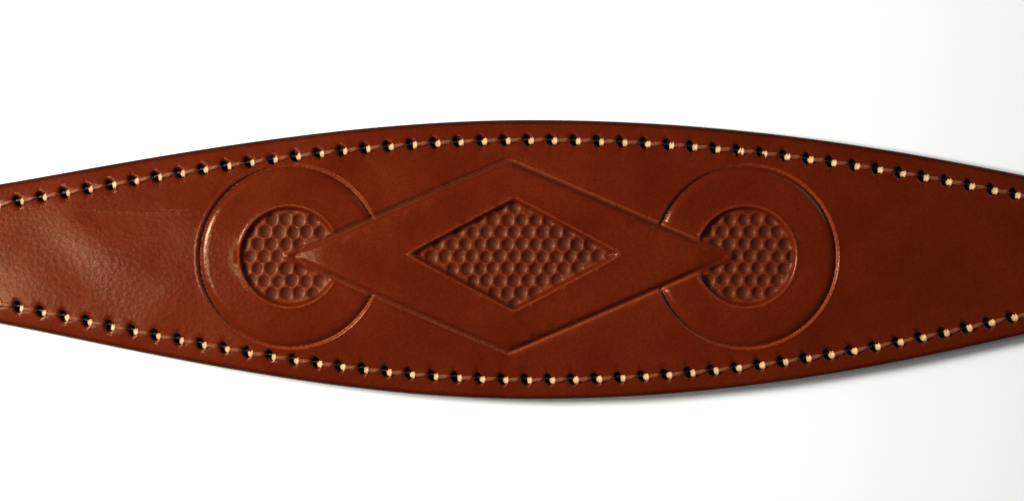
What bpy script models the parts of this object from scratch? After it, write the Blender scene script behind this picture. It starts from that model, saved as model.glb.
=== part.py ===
"""Wide hound collar in tooled bridle leather, unbuckled and lying flat, grain side up.

Frame: +X runs along the strap towards the pointed billet end, +Y across it, +Z out of the grain
face. The origin lies on the underside of the lining, at the collar's widest point. All in metres.
"""
import math

import bmesh
import bpy
from mathutils import Vector

# Outline of the wide body
BODY_HALF_WIDTH = 0.02522       # at the widest point, x = 0
STRAP_HALF_WIDTH = 0.010        # of the plain strap at both ends
LEFT_TAPER = 0.267              # slope that the left edge tends to
LEFT_SHOULDER = 0.0705          # radius-like length of the left shoulder
RIGHT_TAPER = 0.45
RIGHT_SHOULDER = 0.146
NECK_BLEND = 0.0025             # softness of the change from taper to strap
BOW = 0.00138                   # how far the middle sags sideways as the collar lies
BOW_CENTRE = 0.0053
BOW_REACH = 0.148

# Lengths along the strap
BUCKLE_X = -0.203               # axis of the buckle's heel bar
MIDDLE_HOLE_X = 0.203           # hole that gives the nominal neck size
HOLE_PITCH = 0.020
HOLE_COUNT = 5
HOLE_RADIUS = 0.00225
TIP_FROM_LAST_HOLE = 0.040
TIP_LENGTH = 0.016              # rounded point of the billet
TURN_BACK_OVERLAP = 0.0065      # turned-back strap caught by the edge seam
BUTT_GAP = 0.0005

# Thicknesses
OUTER_THICK = 0.0026
LINING_THICK = 0.0013           # the turned-back strap is skived to the same
LAYER_GAP = 0.0003
EDGE_BEVEL = 0.0005
CROWN = 0.0010                  # rise of the padded middle
CROWN_START = 0.0014            # from the stitches to the foot of the rise
CROWN_END = 0.0040              # and to its top
PADDING_BEVEL = 0.0008
PADDING_THICK = 0.0010
PADDING_HALF_LENGTH = 0.078
PADDING_MARGIN = 0.0075         # from the edge of the collar to the padding
POCKET_CLEARANCE = 0.0003

# Stitching
SEAM_MARGIN = 0.0037
THREAD_RADIUS = 0.00045
THREAD_CLEARANCE = 0.00015
SEAM_CORNER = 0.0020
SEAM_OFF_BUMP = 0.0010          # from the foot of a swelling to the nearest cross row

# Tooled motif: two rings joined by a diamond
MOTIF_X = -0.0038
MOTIF_RAISED = 0.0006
LEFT_RING_SPACING = 0.0404
RIGHT_RING_SPACING = 0.0417
RING_INNER_RADIUS = 0.0091
DIAMOND_SHIFT = -0.0009
DIAMOND_HALF_LENGTH = 0.0400
DIAMOND_HALF_HEIGHT = 0.0174
INNER_DIAMOND_HALF_LENGTH = 0.0195
INNER_DIAMOND_HALF_HEIGHT = 0.0103
FIELD_DEPTH = 0.0005

# Buckle
BAR_RADIUS = 0.00175
FOLD_CLEARANCE = 0.00025        # between the heel bar and the leather round it
SIDE_CLEARANCE = 0.00075        # between the strap's edge and a side bar
FRAME_LENGTH = 0.0175           # heel bar axis to front bar axis
FRAME_CORNER = 0.0030
ROLLER_BORE_CLEARANCE = 0.0002
ROLLER_WALL = 0.00065
ROLLER_END_CLEARANCE = 0.0003
PRONG_BORE_CLEARANCE = 0.0002
PRONG_EYE_WALL = 0.0011
PRONG_EYE_WIDTH = 0.0034
PRONG_HEEL_RADIUS = 0.0014
PRONG_TIP_RADIUS = 0.0011
PRONG_REST_GAP = 0.0002         # between the prong and the roller it rests on
PRONG_END_SHARE = 0.6           # radius of the shank's two rounded ends, as a share
PRONG_BITE = 0.0001             # wall of the eye left under the shank's end
PRONG_OVERHANG = 0.0012         # of the tip past the roller's crown
SLOT_SIDE_CLEARANCE = 0.0006
SLOT_REACH = 0.0090             # from the heel bar into each layer
FOLD_RUN = 0.0100               # length over which the strap comes down from the heel bar

# Dee ring
DEE_BAR_RADIUS = 0.0016
DEE_DEPTH = 0.0180              # bar axis to the crown of the bow
DEE_CORNER = 0.0025
DEE_BUMP = 0.0080               # reach of the strap's swelling each side of the dee's bar

# Keeper
KEEPER_WIDTH = 0.0070
KEEPER_BUMP = 0.0045            # reach of the strap's slope beside the keeper
KEEPER_THICK = 0.0014
KEEPER_CORNER = 0.0022
KEEPER_SIDE_CLEARANCE = 0.0004
BILLET_ROOM = 0.0050            # free height over the strap and its stitches
KEEPER_BUTT = 0.0006

# Fineness of the curves
FLAT_STEP = 0.0055              # along the flat collar
BEND_STEP = 0.0010              # where it bends over the metal

# Places that follow from the sizes above
FLESH_Z = LINING_THICK + LAYER_GAP
GRAIN_Z = FLESH_Z + OUTER_THICK
BAR_Z = LINING_THICK + FOLD_CLEARANCE + BAR_RADIUS
DEE_Z = LINING_THICK + LAYER_GAP + DEE_BAR_RADIUS
TIP_X = MIDDLE_HOLE_X + HOLE_PITCH * (HOLE_COUNT - 1) / 2.0 + TIP_FROM_LAST_HOLE
KEEPER_REACH = KEEPER_WIDTH / 2.0 + KEEPER_BUMP
KEEPER_X = BUCKLE_X + FOLD_RUN + KEEPER_REACH
DEE_X = KEEPER_X + KEEPER_REACH + SEAM_OFF_BUMP + DEE_BUMP
BUCKLE_SEAM_START_X = KEEPER_X - KEEPER_REACH - SEAM_OFF_BUMP / 2.0
BUCKLE_SEAM_END_X = KEEPER_X + KEEPER_REACH + SEAM_OFF_BUMP / 2.0
EDGE_SEAM_START_X = DEE_X + DEE_BUMP + SEAM_OFF_BUMP
TURN_BACK_END_X = EDGE_SEAM_START_X + TURN_BACK_OVERLAP


def material(name, colour, roughness, metallic=0.0):
    """Principled material in one colour."""
    made = bpy.data.materials.new(name)
    made.use_nodes = True
    shader = made.node_tree.nodes["Principled BSDF"]
    shader.inputs["Base Color"].default_value = (*colour, 1.0)
    shader.inputs["Roughness"].default_value = roughness
    shader.inputs["Metallic"].default_value = metallic
    return made


def add_object(name, mesh_or_bmesh, look, origin=(0.0, 0.0, 0.0), smooth=True):
    """Link a mesh as a named object whose origin is at the given point."""
    if isinstance(mesh_or_bmesh, bmesh.types.BMesh):
        mesh = bpy.data.meshes.new(name)
        bmesh.ops.recalc_face_normals(mesh_or_bmesh, faces=mesh_or_bmesh.faces)
        bmesh.ops.translate(mesh_or_bmesh, verts=mesh_or_bmesh.verts, vec=-Vector(origin))
        mesh_or_bmesh.to_mesh(mesh)
        mesh_or_bmesh.free()
    else:
        mesh = mesh_or_bmesh
    if smooth:
        mesh.shade_smooth()
        mesh.set_sharp_from_angle(angle=math.radians(35))
    made = bpy.data.objects.new(name, mesh)
    made.location = origin
    if look is not None:
        mesh.materials.append(look)
    bpy.context.scene.collection.objects.link(made)
    return made


def cutter(name, bm, origin=(0.0, 0.0, 0.0)):
    """Object that only cuts or joins another one."""
    made = add_object(name, bm, None, origin, smooth=False)
    made.hide_render = True
    made.display_type = "WIRE"
    return made


def boolean(target, tool, operation):
    """Boolean modifier with the exact solver."""
    modifier = target.modifiers.new(operation.title() + " " + tool.name, "BOOLEAN")
    modifier.operation = operation
    modifier.solver = "EXACT"
    modifier.object = tool


def loft(rings, closed):
    """Skin a row of equal rings; an open row gets a cap at each end."""
    bm = bmesh.new()
    made = [[bm.verts.new(point) for point in ring] for ring in rings]
    pairs = list(zip(made, made[1:]))
    if closed:
        pairs.append((made[-1], made[0]))
    for first, second in pairs:
        count = len(first)
        for i in range(count):
            j = (i + 1) % count
            bm.faces.new((first[i], first[j], second[j], second[i]))
    if not closed:
        bm.faces.new(made[0][::-1])
        bm.faces.new(made[-1])
    return bm


def sweep(path, section, closed):
    """Carry a section of (across, up) points along a path, level with the ground where it can be."""
    rings = []
    count = len(path)
    for i, point in enumerate(path):
        before = path[i - 1] if closed or i > 0 else path[i]
        after = path[(i + 1) % count] if closed or i < count - 1 else path[i]
        along = (Vector(after) - Vector(before)).normalized()
        side = along.cross(Vector((0.0, 0.0, 1.0))).normalized()
        up = side.cross(along)
        rings.append([Vector(point) + side * a + up * b for a, b in section])
    return loft(rings, closed)


def circle(radius, sides):
    """Section points of a round bar."""
    turn = 2.0 * math.pi / sides
    return [(radius * math.cos(turn * i), radius * math.sin(turn * i)) for i in range(sides)]


def arc(centre, radius, start_deg, end_deg, steps):
    """Points on an arc, both ends included."""
    points = []
    for i in range(steps + 1):
        angle = math.radians(start_deg + (end_deg - start_deg) * i / steps)
        points.append((centre[0] + radius * math.cos(angle), centre[1] + radius * math.sin(angle)))
    return points


def steps_between(start, end, pitch):
    """Evenly spaced values from start to end, both included."""
    count = max(1, math.ceil(abs(end - start) / pitch - 1e-6))
    return [start + (end - start) * i / count for i in range(count + 1)]


# ---- outline -------------------------------------------------------------------------------------

def centre_y(x):
    """Sideways place of the collar's centre line."""
    reach = max(-1.0, min(1.0, (x - BOW_CENTRE) / BOW_REACH))
    return -BOW * (1.0 + math.cos(math.pi * reach)) / 2.0


def body_half_width(x):
    """Half width of the collar without its rounded tip."""
    slope, shoulder = (LEFT_TAPER, LEFT_SHOULDER) if x < 0 else (RIGHT_TAPER, RIGHT_SHOULDER)
    taper = BODY_HALF_WIDTH - slope * (math.hypot(x, shoulder) - shoulder)
    both = taper + STRAP_HALF_WIDTH
    return (both + math.hypot(taper - STRAP_HALF_WIDTH, NECK_BLEND)) / 2.0


def half_width(x):
    """Half width of the collar with the rounded tip of the billet."""
    into_tip = (x - (TIP_X - TIP_LENGTH)) / TIP_LENGTH
    if into_tip <= 0.0:
        return body_half_width(x)
    return body_half_width(x) * math.sqrt(max(0.0, 1.0 - into_tip ** 2))


def tip_stations():
    """Places along the billet's point, closer together towards its end."""
    return [TIP_X - TIP_LENGTH * (1.0 - math.sin(math.radians(a))) for a in (80, 68, 56, 44, 32, 20, 8)]


def flat_stations(start):
    """Places along the flat part of the collar, from the tip back to the given start."""
    wide = min(BOW_REACH + BOW_CENTRE, TIP_X - TIP_LENGTH)
    stations = tip_stations() + steps_between(TIP_X - TIP_LENGTH, wide, 0.02)
    return stations + steps_between(wide, start, FLAT_STEP)[1:]


def seam_half_width(x):
    """Distance from the centre line to the row of stitches beside the edge."""
    slope = (body_half_width(x + 0.0005) - body_half_width(x - 0.0005)) / 0.001
    return body_half_width(x) - SEAM_MARGIN * math.hypot(1.0, slope)


def seam_loop(start_x, end_x, pitch):
    """Closed loop of (x, y) points, a fixed margin inside the collar's edge."""
    stop_x = min(end_x - SEAM_CORNER, TIP_X - TIP_LENGTH)
    edge = [(x, seam_half_width(x)) for x in steps_between(start_x + SEAM_CORNER, stop_x, pitch)]
    first_y, last_y = edge[0][1], edge[-1][1]
    start = arc((start_x + SEAM_CORNER, first_y - SEAM_CORNER), SEAM_CORNER, 180, 120, 2)
    if end_x < TIP_X - TIP_LENGTH:
        end = arc((stop_x, last_y - SEAM_CORNER), SEAM_CORNER, 60, 0, 2) + [(end_x, 0.0)]
    else:
        turns = [math.radians(angle) for angle in (15, 30, 45, 60, 75, 90)]
        reach = TIP_LENGTH - SEAM_MARGIN
        end = [(stop_x + reach * math.sin(turn), last_y * math.cos(turn)) for turn in turns]
        end[-1] = (stop_x + reach, 0.0)
    upper = start + edge + end[:-1]
    lower = [(x, -y) for x, y in reversed(upper)]
    loop = upper + end[-1:] + lower + [(start_x, 0.0)]
    return [(x, y + centre_y(x)) for x, y in loop]


# ---- strap as it runs over the metal ----------------------------------------------------------------

def slope_down(share, height):
    """Height of a smooth slope, from its full height at share 0 to nothing at share 1."""
    return height * (1.0 + math.cos(math.pi * min(1.0, max(0.0, share)))) / 2.0


def flesh_z(x):
    """Height of the upper layer's flesh side, over the heel bar, the keeper and the dee."""
    fold = slope_down((x - BUCKLE_X) / FOLD_RUN, BAR_Z + BAR_RADIUS + FOLD_CLEARANCE - FLESH_Z)
    dee = slope_down(abs(x - DEE_X) / DEE_BUMP, DEE_Z + DEE_BAR_RADIUS + LAYER_GAP - FLESH_Z)
    beside = (abs(x - KEEPER_X) - KEEPER_WIDTH / 2.0) / KEEPER_BUMP
    keeper = slope_down(beside, KEEPER_THICK + LAYER_GAP)
    return FLESH_Z + max(fold, dee, keeper)


def layer_thickness(x):
    """The strap is skived thinner towards the fold."""
    run = min(1.0, max(0.0, (x - BUCKLE_X) / FOLD_RUN))
    return LINING_THICK + (OUTER_THICK - LINING_THICK) * run


def grain_z(x):
    """Height of the strap's grain face."""
    return flesh_z(x) + layer_thickness(x)


def thread_z(x):
    """Height at which a thread lies on the grain face, clear of the slopes beside it."""
    bed = max(grain_z(x + aside) for aside in (-2.0 * THREAD_RADIUS, 0.0, 2.0 * THREAD_RADIUS))
    return bed + THREAD_RADIUS + THREAD_CLEARANCE


def strap_route():
    """Flesh-side points (x, z), outward direction and thickness, from the tip to the turn-back's end."""
    route = []
    bend_start = DEE_X + DEE_BUMP
    for x in flat_stations(bend_start):
        route.append((x, FLESH_Z, 0.0, 1.0, OUTER_THICK))
    for x in steps_between(bend_start, BUCKLE_X, BEND_STEP)[1:-1]:
        slope = (flesh_z(x + 0.0002) - flesh_z(x - 0.0002)) / 0.0004
        length = math.hypot(1.0, slope)
        route.append((x, flesh_z(x), -slope / length, 1.0 / length, layer_thickness(x)))
    inner = BAR_RADIUS + FOLD_CLEARANCE
    for angle in steps_between(90.0, 270.0, 15.0):
        c, s = math.cos(math.radians(angle)), math.sin(math.radians(angle))
        route.append((BUCKLE_X + inner * c, BAR_Z + inner * s, c, s, LINING_THICK))
    for x in steps_between(BUCKLE_X, TURN_BACK_END_X, 0.01)[1:]:
        route.append((x, LINING_THICK, 0.0, -1.0, LINING_THICK))
    return route


def padding_shape(x, grow):
    """Half width and thickness of the padding, or of the pocket grown round it."""
    reach = min(1.0, abs(x) / (PADDING_HALF_LENGTH + grow))
    fade = math.sqrt(max(0.0, 1.0 - reach ** 6))
    return body_half_width(x) - PADDING_MARGIN + grow, PADDING_THICK * fade


def strap_section(x, thickness, upper_layer):
    """Points (across, outward) round the strap: flesh side with its pocket, then the crowned grain side."""
    half = half_width(x)
    share = min(1.0, half / STRAP_HALF_WIDTH)
    pocket_half, pocket = half * 0.6, 0.0
    crown = 0.0
    if upper_layer and abs(x) < PADDING_HALF_LENGTH + POCKET_CLEARANCE:
        pocket_half, pad = padding_shape(x, POCKET_CLEARANCE)
        pocket = pad + POCKET_CLEARANCE
        crown = CROWN * pad / PADDING_THICK
    bevel = EDGE_BEVEL * share
    low_shoulder = half - (SEAM_MARGIN + CROWN_START) * share
    high_shoulder = half - (SEAM_MARGIN + CROWN_END) * share
    right = [(half, 0.0), (half, thickness - bevel), (half - bevel, thickness)]
    right += [(low_shoulder, thickness), (high_shoulder, thickness + crown)]
    left = [(-across, out) for across, out in reversed(right)]
    under = [(-pocket_half, 0.0), (-pocket_half + PADDING_BEVEL * share, pocket)]
    under += [(pocket_half - PADDING_BEVEL * share, pocket), (pocket_half, 0.0)]
    return right + left + under


def make_outer_leather(look):
    """The tooled strap in one piece: billet, wide body, fold round the buckle and turn-back."""
    rings = []
    for x, z, out_x, out_z, thickness in strap_route():
        ring = []
        for across, out in strap_section(x, thickness, out_z > 0.5):
            ring.append((x + out_x * out, centre_y(x) + across, z + out_z * out))
        rings.append(ring)
    strap = add_object("outer_leather", loft(rings, closed=False), look)
    return strap


def make_lining(look):
    """Lining from the butt joint at the turn-back to the tip."""
    rings = []
    for x in flat_stations(TURN_BACK_END_X + BUTT_GAP):
        half, mid = half_width(x), centre_y(x)
        ring = [(x, mid + half, 0.0), (x, mid + half, LINING_THICK)]
        ring += [(x, mid - half, LINING_THICK), (x, mid - half, 0.0)]
        rings.append(ring)
    return add_object("lining_leather", loft(rings, closed=False), look)


def make_padding(look):
    """Thin felt between the lining and the tooled middle."""
    rings = []
    for x in steps_between(PADDING_HALF_LENGTH * 0.98, -PADDING_HALF_LENGTH * 0.98, FLAT_STEP):
        half, thick = padding_shape(x, 0.0)
        mid, low = centre_y(x), LINING_THICK + LAYER_GAP / 2.0
        ring = [(x, mid + half, low), (x, mid + half - PADDING_BEVEL, low + thick)]
        ring += [(x, mid - half + PADDING_BEVEL, low + thick), (x, mid - half, low)]
        rings.append(ring)
    return add_object("padding", loft(rings, closed=False), look)


def punch_holes(strap, lining):
    """Five billet holes through both leathers."""
    for i in range(HOLE_COUNT):
        x = MIDDLE_HOLE_X + HOLE_PITCH * (i - (HOLE_COUNT - 1) / 2.0)
        bm = bmesh.new()
        bmesh.ops.create_cone(bm, cap_ends=True, segments=16, radius1=HOLE_RADIUS, radius2=HOLE_RADIUS,
                              depth=4.0 * GRAIN_Z)
        tool = cutter(f"hole_punch_{i + 1}", bm)
        tool.location = (x, centre_y(x), GRAIN_Z / 2.0)
        boolean(strap, tool, "DIFFERENCE")
        boolean(lining, tool, "DIFFERENCE")


def cut_prong_slot(strap):
    """Slot through the fold, where the prong hooks round the heel bar."""
    half = PRONG_EYE_WIDTH / 2.0 + SLOT_SIDE_CLEARANCE
    straight = 2.0 * (SLOT_REACH - half)
    outline = arc((BUCKLE_X + SLOT_REACH - half, 0.0), half, -90, 90, 8)
    outline += [(BUCKLE_X - straight, half), (BUCKLE_X - straight, -half)]
    bm = loft([[(x, y, z) for x, y in outline] for z in (-GRAIN_Z, 4.0 * GRAIN_Z)], closed=False)
    boolean(strap, cutter("prong_slot", bm), "DIFFERENCE")


def tool_motif(strap):
    """Sunken fields of the motif: a disc in each ring and the inner diamond."""
    floor = GRAIN_Z + CROWN - FIELD_DEPTH
    roof = GRAIN_Z + 3.0 * CROWN
    mid = centre_y(MOTIF_X) + MOTIF_RAISED
    diamond = [(INNER_DIAMOND_HALF_LENGTH, 0.0), (0.0, INNER_DIAMOND_HALF_HEIGHT)]
    diamond += [(-across, -up) for across, up in diamond]
    fields = [("diamond_field", [(MOTIF_X + across, mid + up) for across, up in diamond])]
    discs = ((-1.0, LEFT_RING_SPACING, "left_disc_field"), (1.0, RIGHT_RING_SPACING, "right_disc_field"))
    for side, spacing, name in discs:
        fields.append((name, disc_field(side, spacing, mid)))
    for name, outline in fields:
        bm = loft([[(x, y, z) for x, y in outline] for z in (floor, roof)], closed=False)
        boolean(strap, cutter(name, bm), "DIFFERENCE")


def disc_field(side, spacing, mid):
    """Outline of the disc inside a ring, less the tip of the big diamond."""
    centre_x = MOTIF_X + side * spacing
    tip = DIAMOND_HALF_LENGTH + side * DIAMOND_SHIFT - spacing
    slope = DIAMOND_HALF_HEIGHT / DIAMOND_HALF_LENGTH
    chord = math.sqrt(RING_INNER_RADIUS ** 2 * (1 + slope ** 2) - (tip * slope) ** 2)
    cut_x = (chord - tip * slope ** 2) / (1 + slope ** 2)
    angle = math.degrees(math.atan2((cut_x + tip) * slope, cut_x))
    rim = arc((0.0, 0.0), RING_INNER_RADIUS, 180.0 - angle, -180.0 + angle, 28)
    outline = rim + [(tip, 0.0)]
    return [(centre_x + side * across, mid + up) for across, up in outline]


# ---- stitching ----------------------------------------------------------------------------------------

def groove_seam(name, loop, strap, lining):
    """Channel in the underside that takes the bobbin thread."""
    half = THREAD_RADIUS + THREAD_CLEARANCE
    depth = 2.0 * THREAD_RADIUS + THREAD_CLEARANCE
    section = [(half, -LINING_THICK), (half, depth), (-half, depth), (-half, -LINING_THICK)]
    tool = cutter(name, sweep([(x, y, 0.0) for x, y in loop], section, closed=True))
    boolean(strap, tool, "DIFFERENCE")
    if max(x for x, _ in loop) > TURN_BACK_END_X:
        boolean(lining, tool, "DIFFERENCE")


def make_seam(name, loop, look, strap, lining):
    """Needle thread on the grain side and bobbin thread in its channel underneath."""
    top = [(x, y, thread_z(x)) for x, y in loop]
    low = [(x, y, THREAD_RADIUS + THREAD_CLEARANCE / 2.0) for x, y in loop]
    section = circle(THREAD_RADIUS, 6)
    add_object(name + "_needle_thread", sweep(top, section, closed=True), look)
    add_object(name + "_bobbin_thread", sweep(low, section, closed=True), look)
    groove_seam(name + "_groove", loop, strap, lining)


# ---- keeper and metal ---------------------------------------------------------------------------------

def rounded_box_path(half_y, low, high, corner, steps):
    """Closed (y, z) path round a box, anticlockwise, starting at the middle of its floor."""
    path = [(0.0, low)]
    path += arc((half_y - corner, low + corner), corner, -90, 0, steps)
    path += arc((half_y - corner, high - corner), corner, 0, 90, steps)
    path += arc((-half_y + corner, high - corner), corner, 90, 180, steps)
    path += arc((-half_y + corner, low + corner), corner, 180, 270, steps)
    return path


def make_keeper(look):
    """Leather loop whose two ends are tucked under the strap."""
    inner_half = STRAP_HALF_WIDTH + KEEPER_SIDE_CLEARANCE
    inner_low = FLESH_Z + KEEPER_THICK
    top_of_seam = grain_z(KEEPER_X) + 2.0 * THREAD_RADIUS + THREAD_CLEARANCE
    inner_high = top_of_seam + BILLET_ROOM
    low_corner = min(KEEPER_CORNER, KEEPER_THICK)
    inner = rounded_box_path(inner_half, inner_low, inner_high, low_corner / 2.0, 3)
    outer = rounded_box_path(inner_half + KEEPER_THICK, inner_low - KEEPER_THICK,
                             inner_high + KEEPER_THICK, low_corner / 2.0 + KEEPER_THICK, 3)
    half_butt = KEEPER_BUTT / 2.0
    profile = [(half_butt, inner[0][1])] + inner[1:] + [(-half_butt, inner[0][1])]
    profile += [(-half_butt, outer[0][1])] + outer[:0:-1] + [(half_butt, outer[0][1])]
    mid = centre_y(KEEPER_X)
    ends = (KEEPER_X - KEEPER_WIDTH / 2.0, KEEPER_X + KEEPER_WIDTH / 2.0)
    bm = loft([[(x, mid + y, z) for y, z in profile] for x in ends], closed=False)
    return add_object("keeper_loop", bm, look)


def frame_path():
    """Axis of the buckle's wire: heel bar, side bars and front bar."""
    half = STRAP_HALF_WIDTH + SIDE_CLEARANCE + BAR_RADIUS
    corner = FRAME_CORNER
    path = [(0.0, 0.0)]
    path += arc((-corner, half - corner), corner, 0, 90, 4)
    path += arc((-FRAME_LENGTH + corner, half - corner), corner, 90, 180, 4)
    path += [(-FRAME_LENGTH, 0.0)]
    path += [(x, -y) for x, y in reversed(path[1:-1])]
    return [(BUCKLE_X + x, y, BAR_Z) for x, y in path]


def make_buckle(look):
    """Frame, roller and prong. The frame and the prong turn about the heel bar."""
    heel = (BUCKLE_X, 0.0, BAR_Z)
    frame = add_object("buckle_frame", sweep(frame_path(), circle(BAR_RADIUS, 12), closed=True), look, heel)
    roller = add_object("buckle_roller", roller_mesh(), look)
    roller.location = (-FRAME_LENGTH, 0.0, 0.0)
    roller.parent = frame
    prong = add_object("buckle_prong", prong_eye(), look)
    prong.parent = frame
    shank = cutter("prong_shank", prong_shank())
    shank.parent = frame
    boolean(prong, shank, "UNION")


def roller_outer_radius():
    """Outer radius of the roller."""
    return BAR_RADIUS + ROLLER_BORE_CLEARANCE + ROLLER_WALL


def tube(inner, outer, width, sides):
    """Short tube along Y, centred on the origin."""
    rings = []
    for i in range(sides):
        turn = 2.0 * math.pi * i / sides
        c, s = math.cos(turn), math.sin(turn)
        ring = [(inner, -width / 2), (outer, -width / 2), (outer, width / 2), (inner, width / 2)]
        rings.append([(radius * c, y, radius * s) for radius, y in ring])
    return loft(rings, closed=True)


def roller_mesh():
    """Roller on the front bar, between the two corners."""
    half = STRAP_HALF_WIDTH + SIDE_CLEARANCE + BAR_RADIUS - FRAME_CORNER - ROLLER_END_CLEARANCE
    return tube(BAR_RADIUS + ROLLER_BORE_CLEARANCE, roller_outer_radius(), 2.0 * half, 24)


def prong_eye():
    """Eye of the prong round the heel bar."""
    inner = BAR_RADIUS + PRONG_BORE_CLEARANCE
    return tube(inner, inner + PRONG_EYE_WALL, PRONG_EYE_WIDTH, 24)


def prong_shank():
    """Round tapered shank from the top of the eye to just past the roller's crown."""
    start_z = BAR_RADIUS + PRONG_BORE_CLEARANCE + PRONG_END_SHARE * PRONG_HEEL_RADIUS + PRONG_BITE
    tip_z = roller_outer_radius() + PRONG_REST_GAP + PRONG_TIP_RADIUS
    start = Vector((PRONG_EYE_WALL / 2.0, 0.0, start_z))
    end = Vector((-FRAME_LENGTH - PRONG_OVERHANG, 0.0, tip_z))
    rings = []
    for share in (0.0, 0.25, 0.5, 0.75, 0.97, 1.0):
        radius = PRONG_HEEL_RADIUS + (PRONG_TIP_RADIUS - PRONG_HEEL_RADIUS) * share
        if share in (0.0, 1.0):
            radius *= PRONG_END_SHARE
        centre = start.lerp(end, share)
        rings.append([centre + Vector((0.0, a, b)) for a, b in circle(radius, 12)])
    return loft(rings, closed=False)


def dee_tilt():
    """Angle at which the bow rests on the strap's two edges."""
    half = STRAP_HALF_WIDTH + SIDE_CLEARANCE + DEE_BAR_RADIUS
    at_edge = DEE_DEPTH - half + math.sqrt(half ** 2 - STRAP_HALF_WIDTH ** 2)
    return math.atan2(GRAIN_Z + DEE_BAR_RADIUS * 1.15 + LAYER_GAP - DEE_Z, at_edge)


def make_dee(look):
    """Dee ring: its bar is held between the layers and its bow lies on the grain side."""
    half = STRAP_HALF_WIDTH + SIDE_CLEARANCE + DEE_BAR_RADIUS
    corner = DEE_CORNER
    path = [(0.0, 0.0)]
    path += arc((corner, -half + corner), corner, 180, 270, 4)
    path += arc((DEE_DEPTH - half, 0.0), half, -90, 90, 16)
    path += arc((corner, half - corner), corner, 90, 180, 4)
    section = circle(DEE_BAR_RADIUS, 12)
    bm = sweep([(x, y, 0.0) for x, y in path], section, closed=True)
    dee = add_object("dee_ring", bm, look)
    dee.location = (DEE_X, 0.0, DEE_Z)
    dee.rotation_euler = (0.0, -dee_tilt(), 0.0)


def main():
    """Build the collar."""
    for old in list(bpy.data.objects):
        bpy.data.objects.remove(old)
    bridle = material("bridle_leather", (0.130, 0.022, 0.006), 0.38)
    lining_look = material("lining_leather", (0.30, 0.13, 0.06), 0.75)
    felt = material("felt", (0.45, 0.42, 0.36), 0.95)
    thread = material("waxed_thread", (0.50, 0.30, 0.12), 0.55)
    brass = material("brass", (0.75, 0.53, 0.22), 0.25, 1.0)

    strap = make_outer_leather(bridle)
    lining = make_lining(lining_look)
    make_padding(felt)
    punch_holes(strap, lining)
    cut_prong_slot(strap)
    tool_motif(strap)
    edge_seam = seam_loop(EDGE_SEAM_START_X, TIP_X, FLAT_STEP)
    make_seam("edge_seam", edge_seam, thread, strap, lining)
    buckle_seam = seam_loop(BUCKLE_SEAM_START_X, BUCKLE_SEAM_END_X, BEND_STEP)
    make_seam("buckle_seam", buckle_seam, thread, strap, lining)
    make_keeper(bridle)
    make_buckle(brass)
    make_dee(brass)


main()
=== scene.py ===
"""Looks of a tooled bridle-leather hound collar, lying open and flat on white paper.

The strap, its lining, the stitches and the metal are built as they are made: the strap is one
piece of leather with a carved and stamped motif, sewn to a lining with a waxed thread.
"""
import logging
import math
from collections.abc import Callable
from dataclasses import dataclass, field
from enum import Enum
from functools import partial

import bmesh
import bpy
import numpy as np
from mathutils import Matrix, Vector
from mathutils.kdtree import KDTree


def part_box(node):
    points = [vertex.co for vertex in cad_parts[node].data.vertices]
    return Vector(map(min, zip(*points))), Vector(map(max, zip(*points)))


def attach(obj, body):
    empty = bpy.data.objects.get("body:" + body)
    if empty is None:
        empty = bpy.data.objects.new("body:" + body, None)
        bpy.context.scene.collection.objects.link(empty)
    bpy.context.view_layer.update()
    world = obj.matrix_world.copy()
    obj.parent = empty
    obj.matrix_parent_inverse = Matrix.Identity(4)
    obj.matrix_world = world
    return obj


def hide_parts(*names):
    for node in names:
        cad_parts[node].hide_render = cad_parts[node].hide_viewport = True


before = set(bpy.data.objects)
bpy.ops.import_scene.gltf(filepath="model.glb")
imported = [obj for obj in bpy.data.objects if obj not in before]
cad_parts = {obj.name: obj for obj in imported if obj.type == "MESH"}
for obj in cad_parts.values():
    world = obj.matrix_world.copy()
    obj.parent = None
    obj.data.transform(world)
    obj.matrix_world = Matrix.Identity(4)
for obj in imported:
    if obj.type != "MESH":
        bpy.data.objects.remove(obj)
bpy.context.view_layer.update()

Array = np.ndarray
WELD = 1e-6             # vertices closer than this are one
ROUTE_STEP = 0.00025    # between the points of a strip's route
GRAIN_FACE = 0.999      # level above which a vertex lies on a strip's outer face
NEAR_FACE = 0.9         # and above which the middle of a cell does
OFF_GRID = 0.00004      # keeps the punches' corners off the lines of the strips' grids
log = logging.getLogger("collar")


# ---- shared helpers ------------------------------------------------------------------------------

def ramp(value: Array, start: float, end: float) -> Array:
    """Smooth step from 0 at start to 1 at end.

    Args:
        value: Where to read the step.
        start: Value at which it leaves 0.
        end: Value at which it reaches 1.

    Returns:
        The step, between 0 and 1.
    """
    share = np.clip((value - start) / (end - start), 0.0, 1.0)
    return share * share * (3.0 - 2.0 * share)


def hill(distance: Array, width: float) -> Array:
    """Rounded hill of height 1 that fades over the given width."""
    return np.exp(-(distance / width) ** 2)


def rounded(distance: Array, radius: float) -> Array:
    """How far a rounded edge falls away at a distance from it.

    Args:
        distance: Distance from the edge.
        radius: Radius of the rounding.

    Returns:
        How far the surface lies below the full height.
    """
    inside = np.clip(radius - distance, 0.0, radius)
    return radius - np.sqrt(radius ** 2 - inside ** 2)


def scatter(column: Array, row: Array, seed: float) -> Array:
    """Repeatable scatter between -1 and 1 for a cell of a pattern.

    Args:
        column: Column of the cell.
        row: Row of the cell.
        seed: Tells one scatter from another.

    Returns:
        The scatter.
    """
    wave = np.sin(column * 12.9898 + row * 78.233 + seed) * 43758.5453
    return 2.0 * (wave - np.floor(wave)) - 1.0


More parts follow.
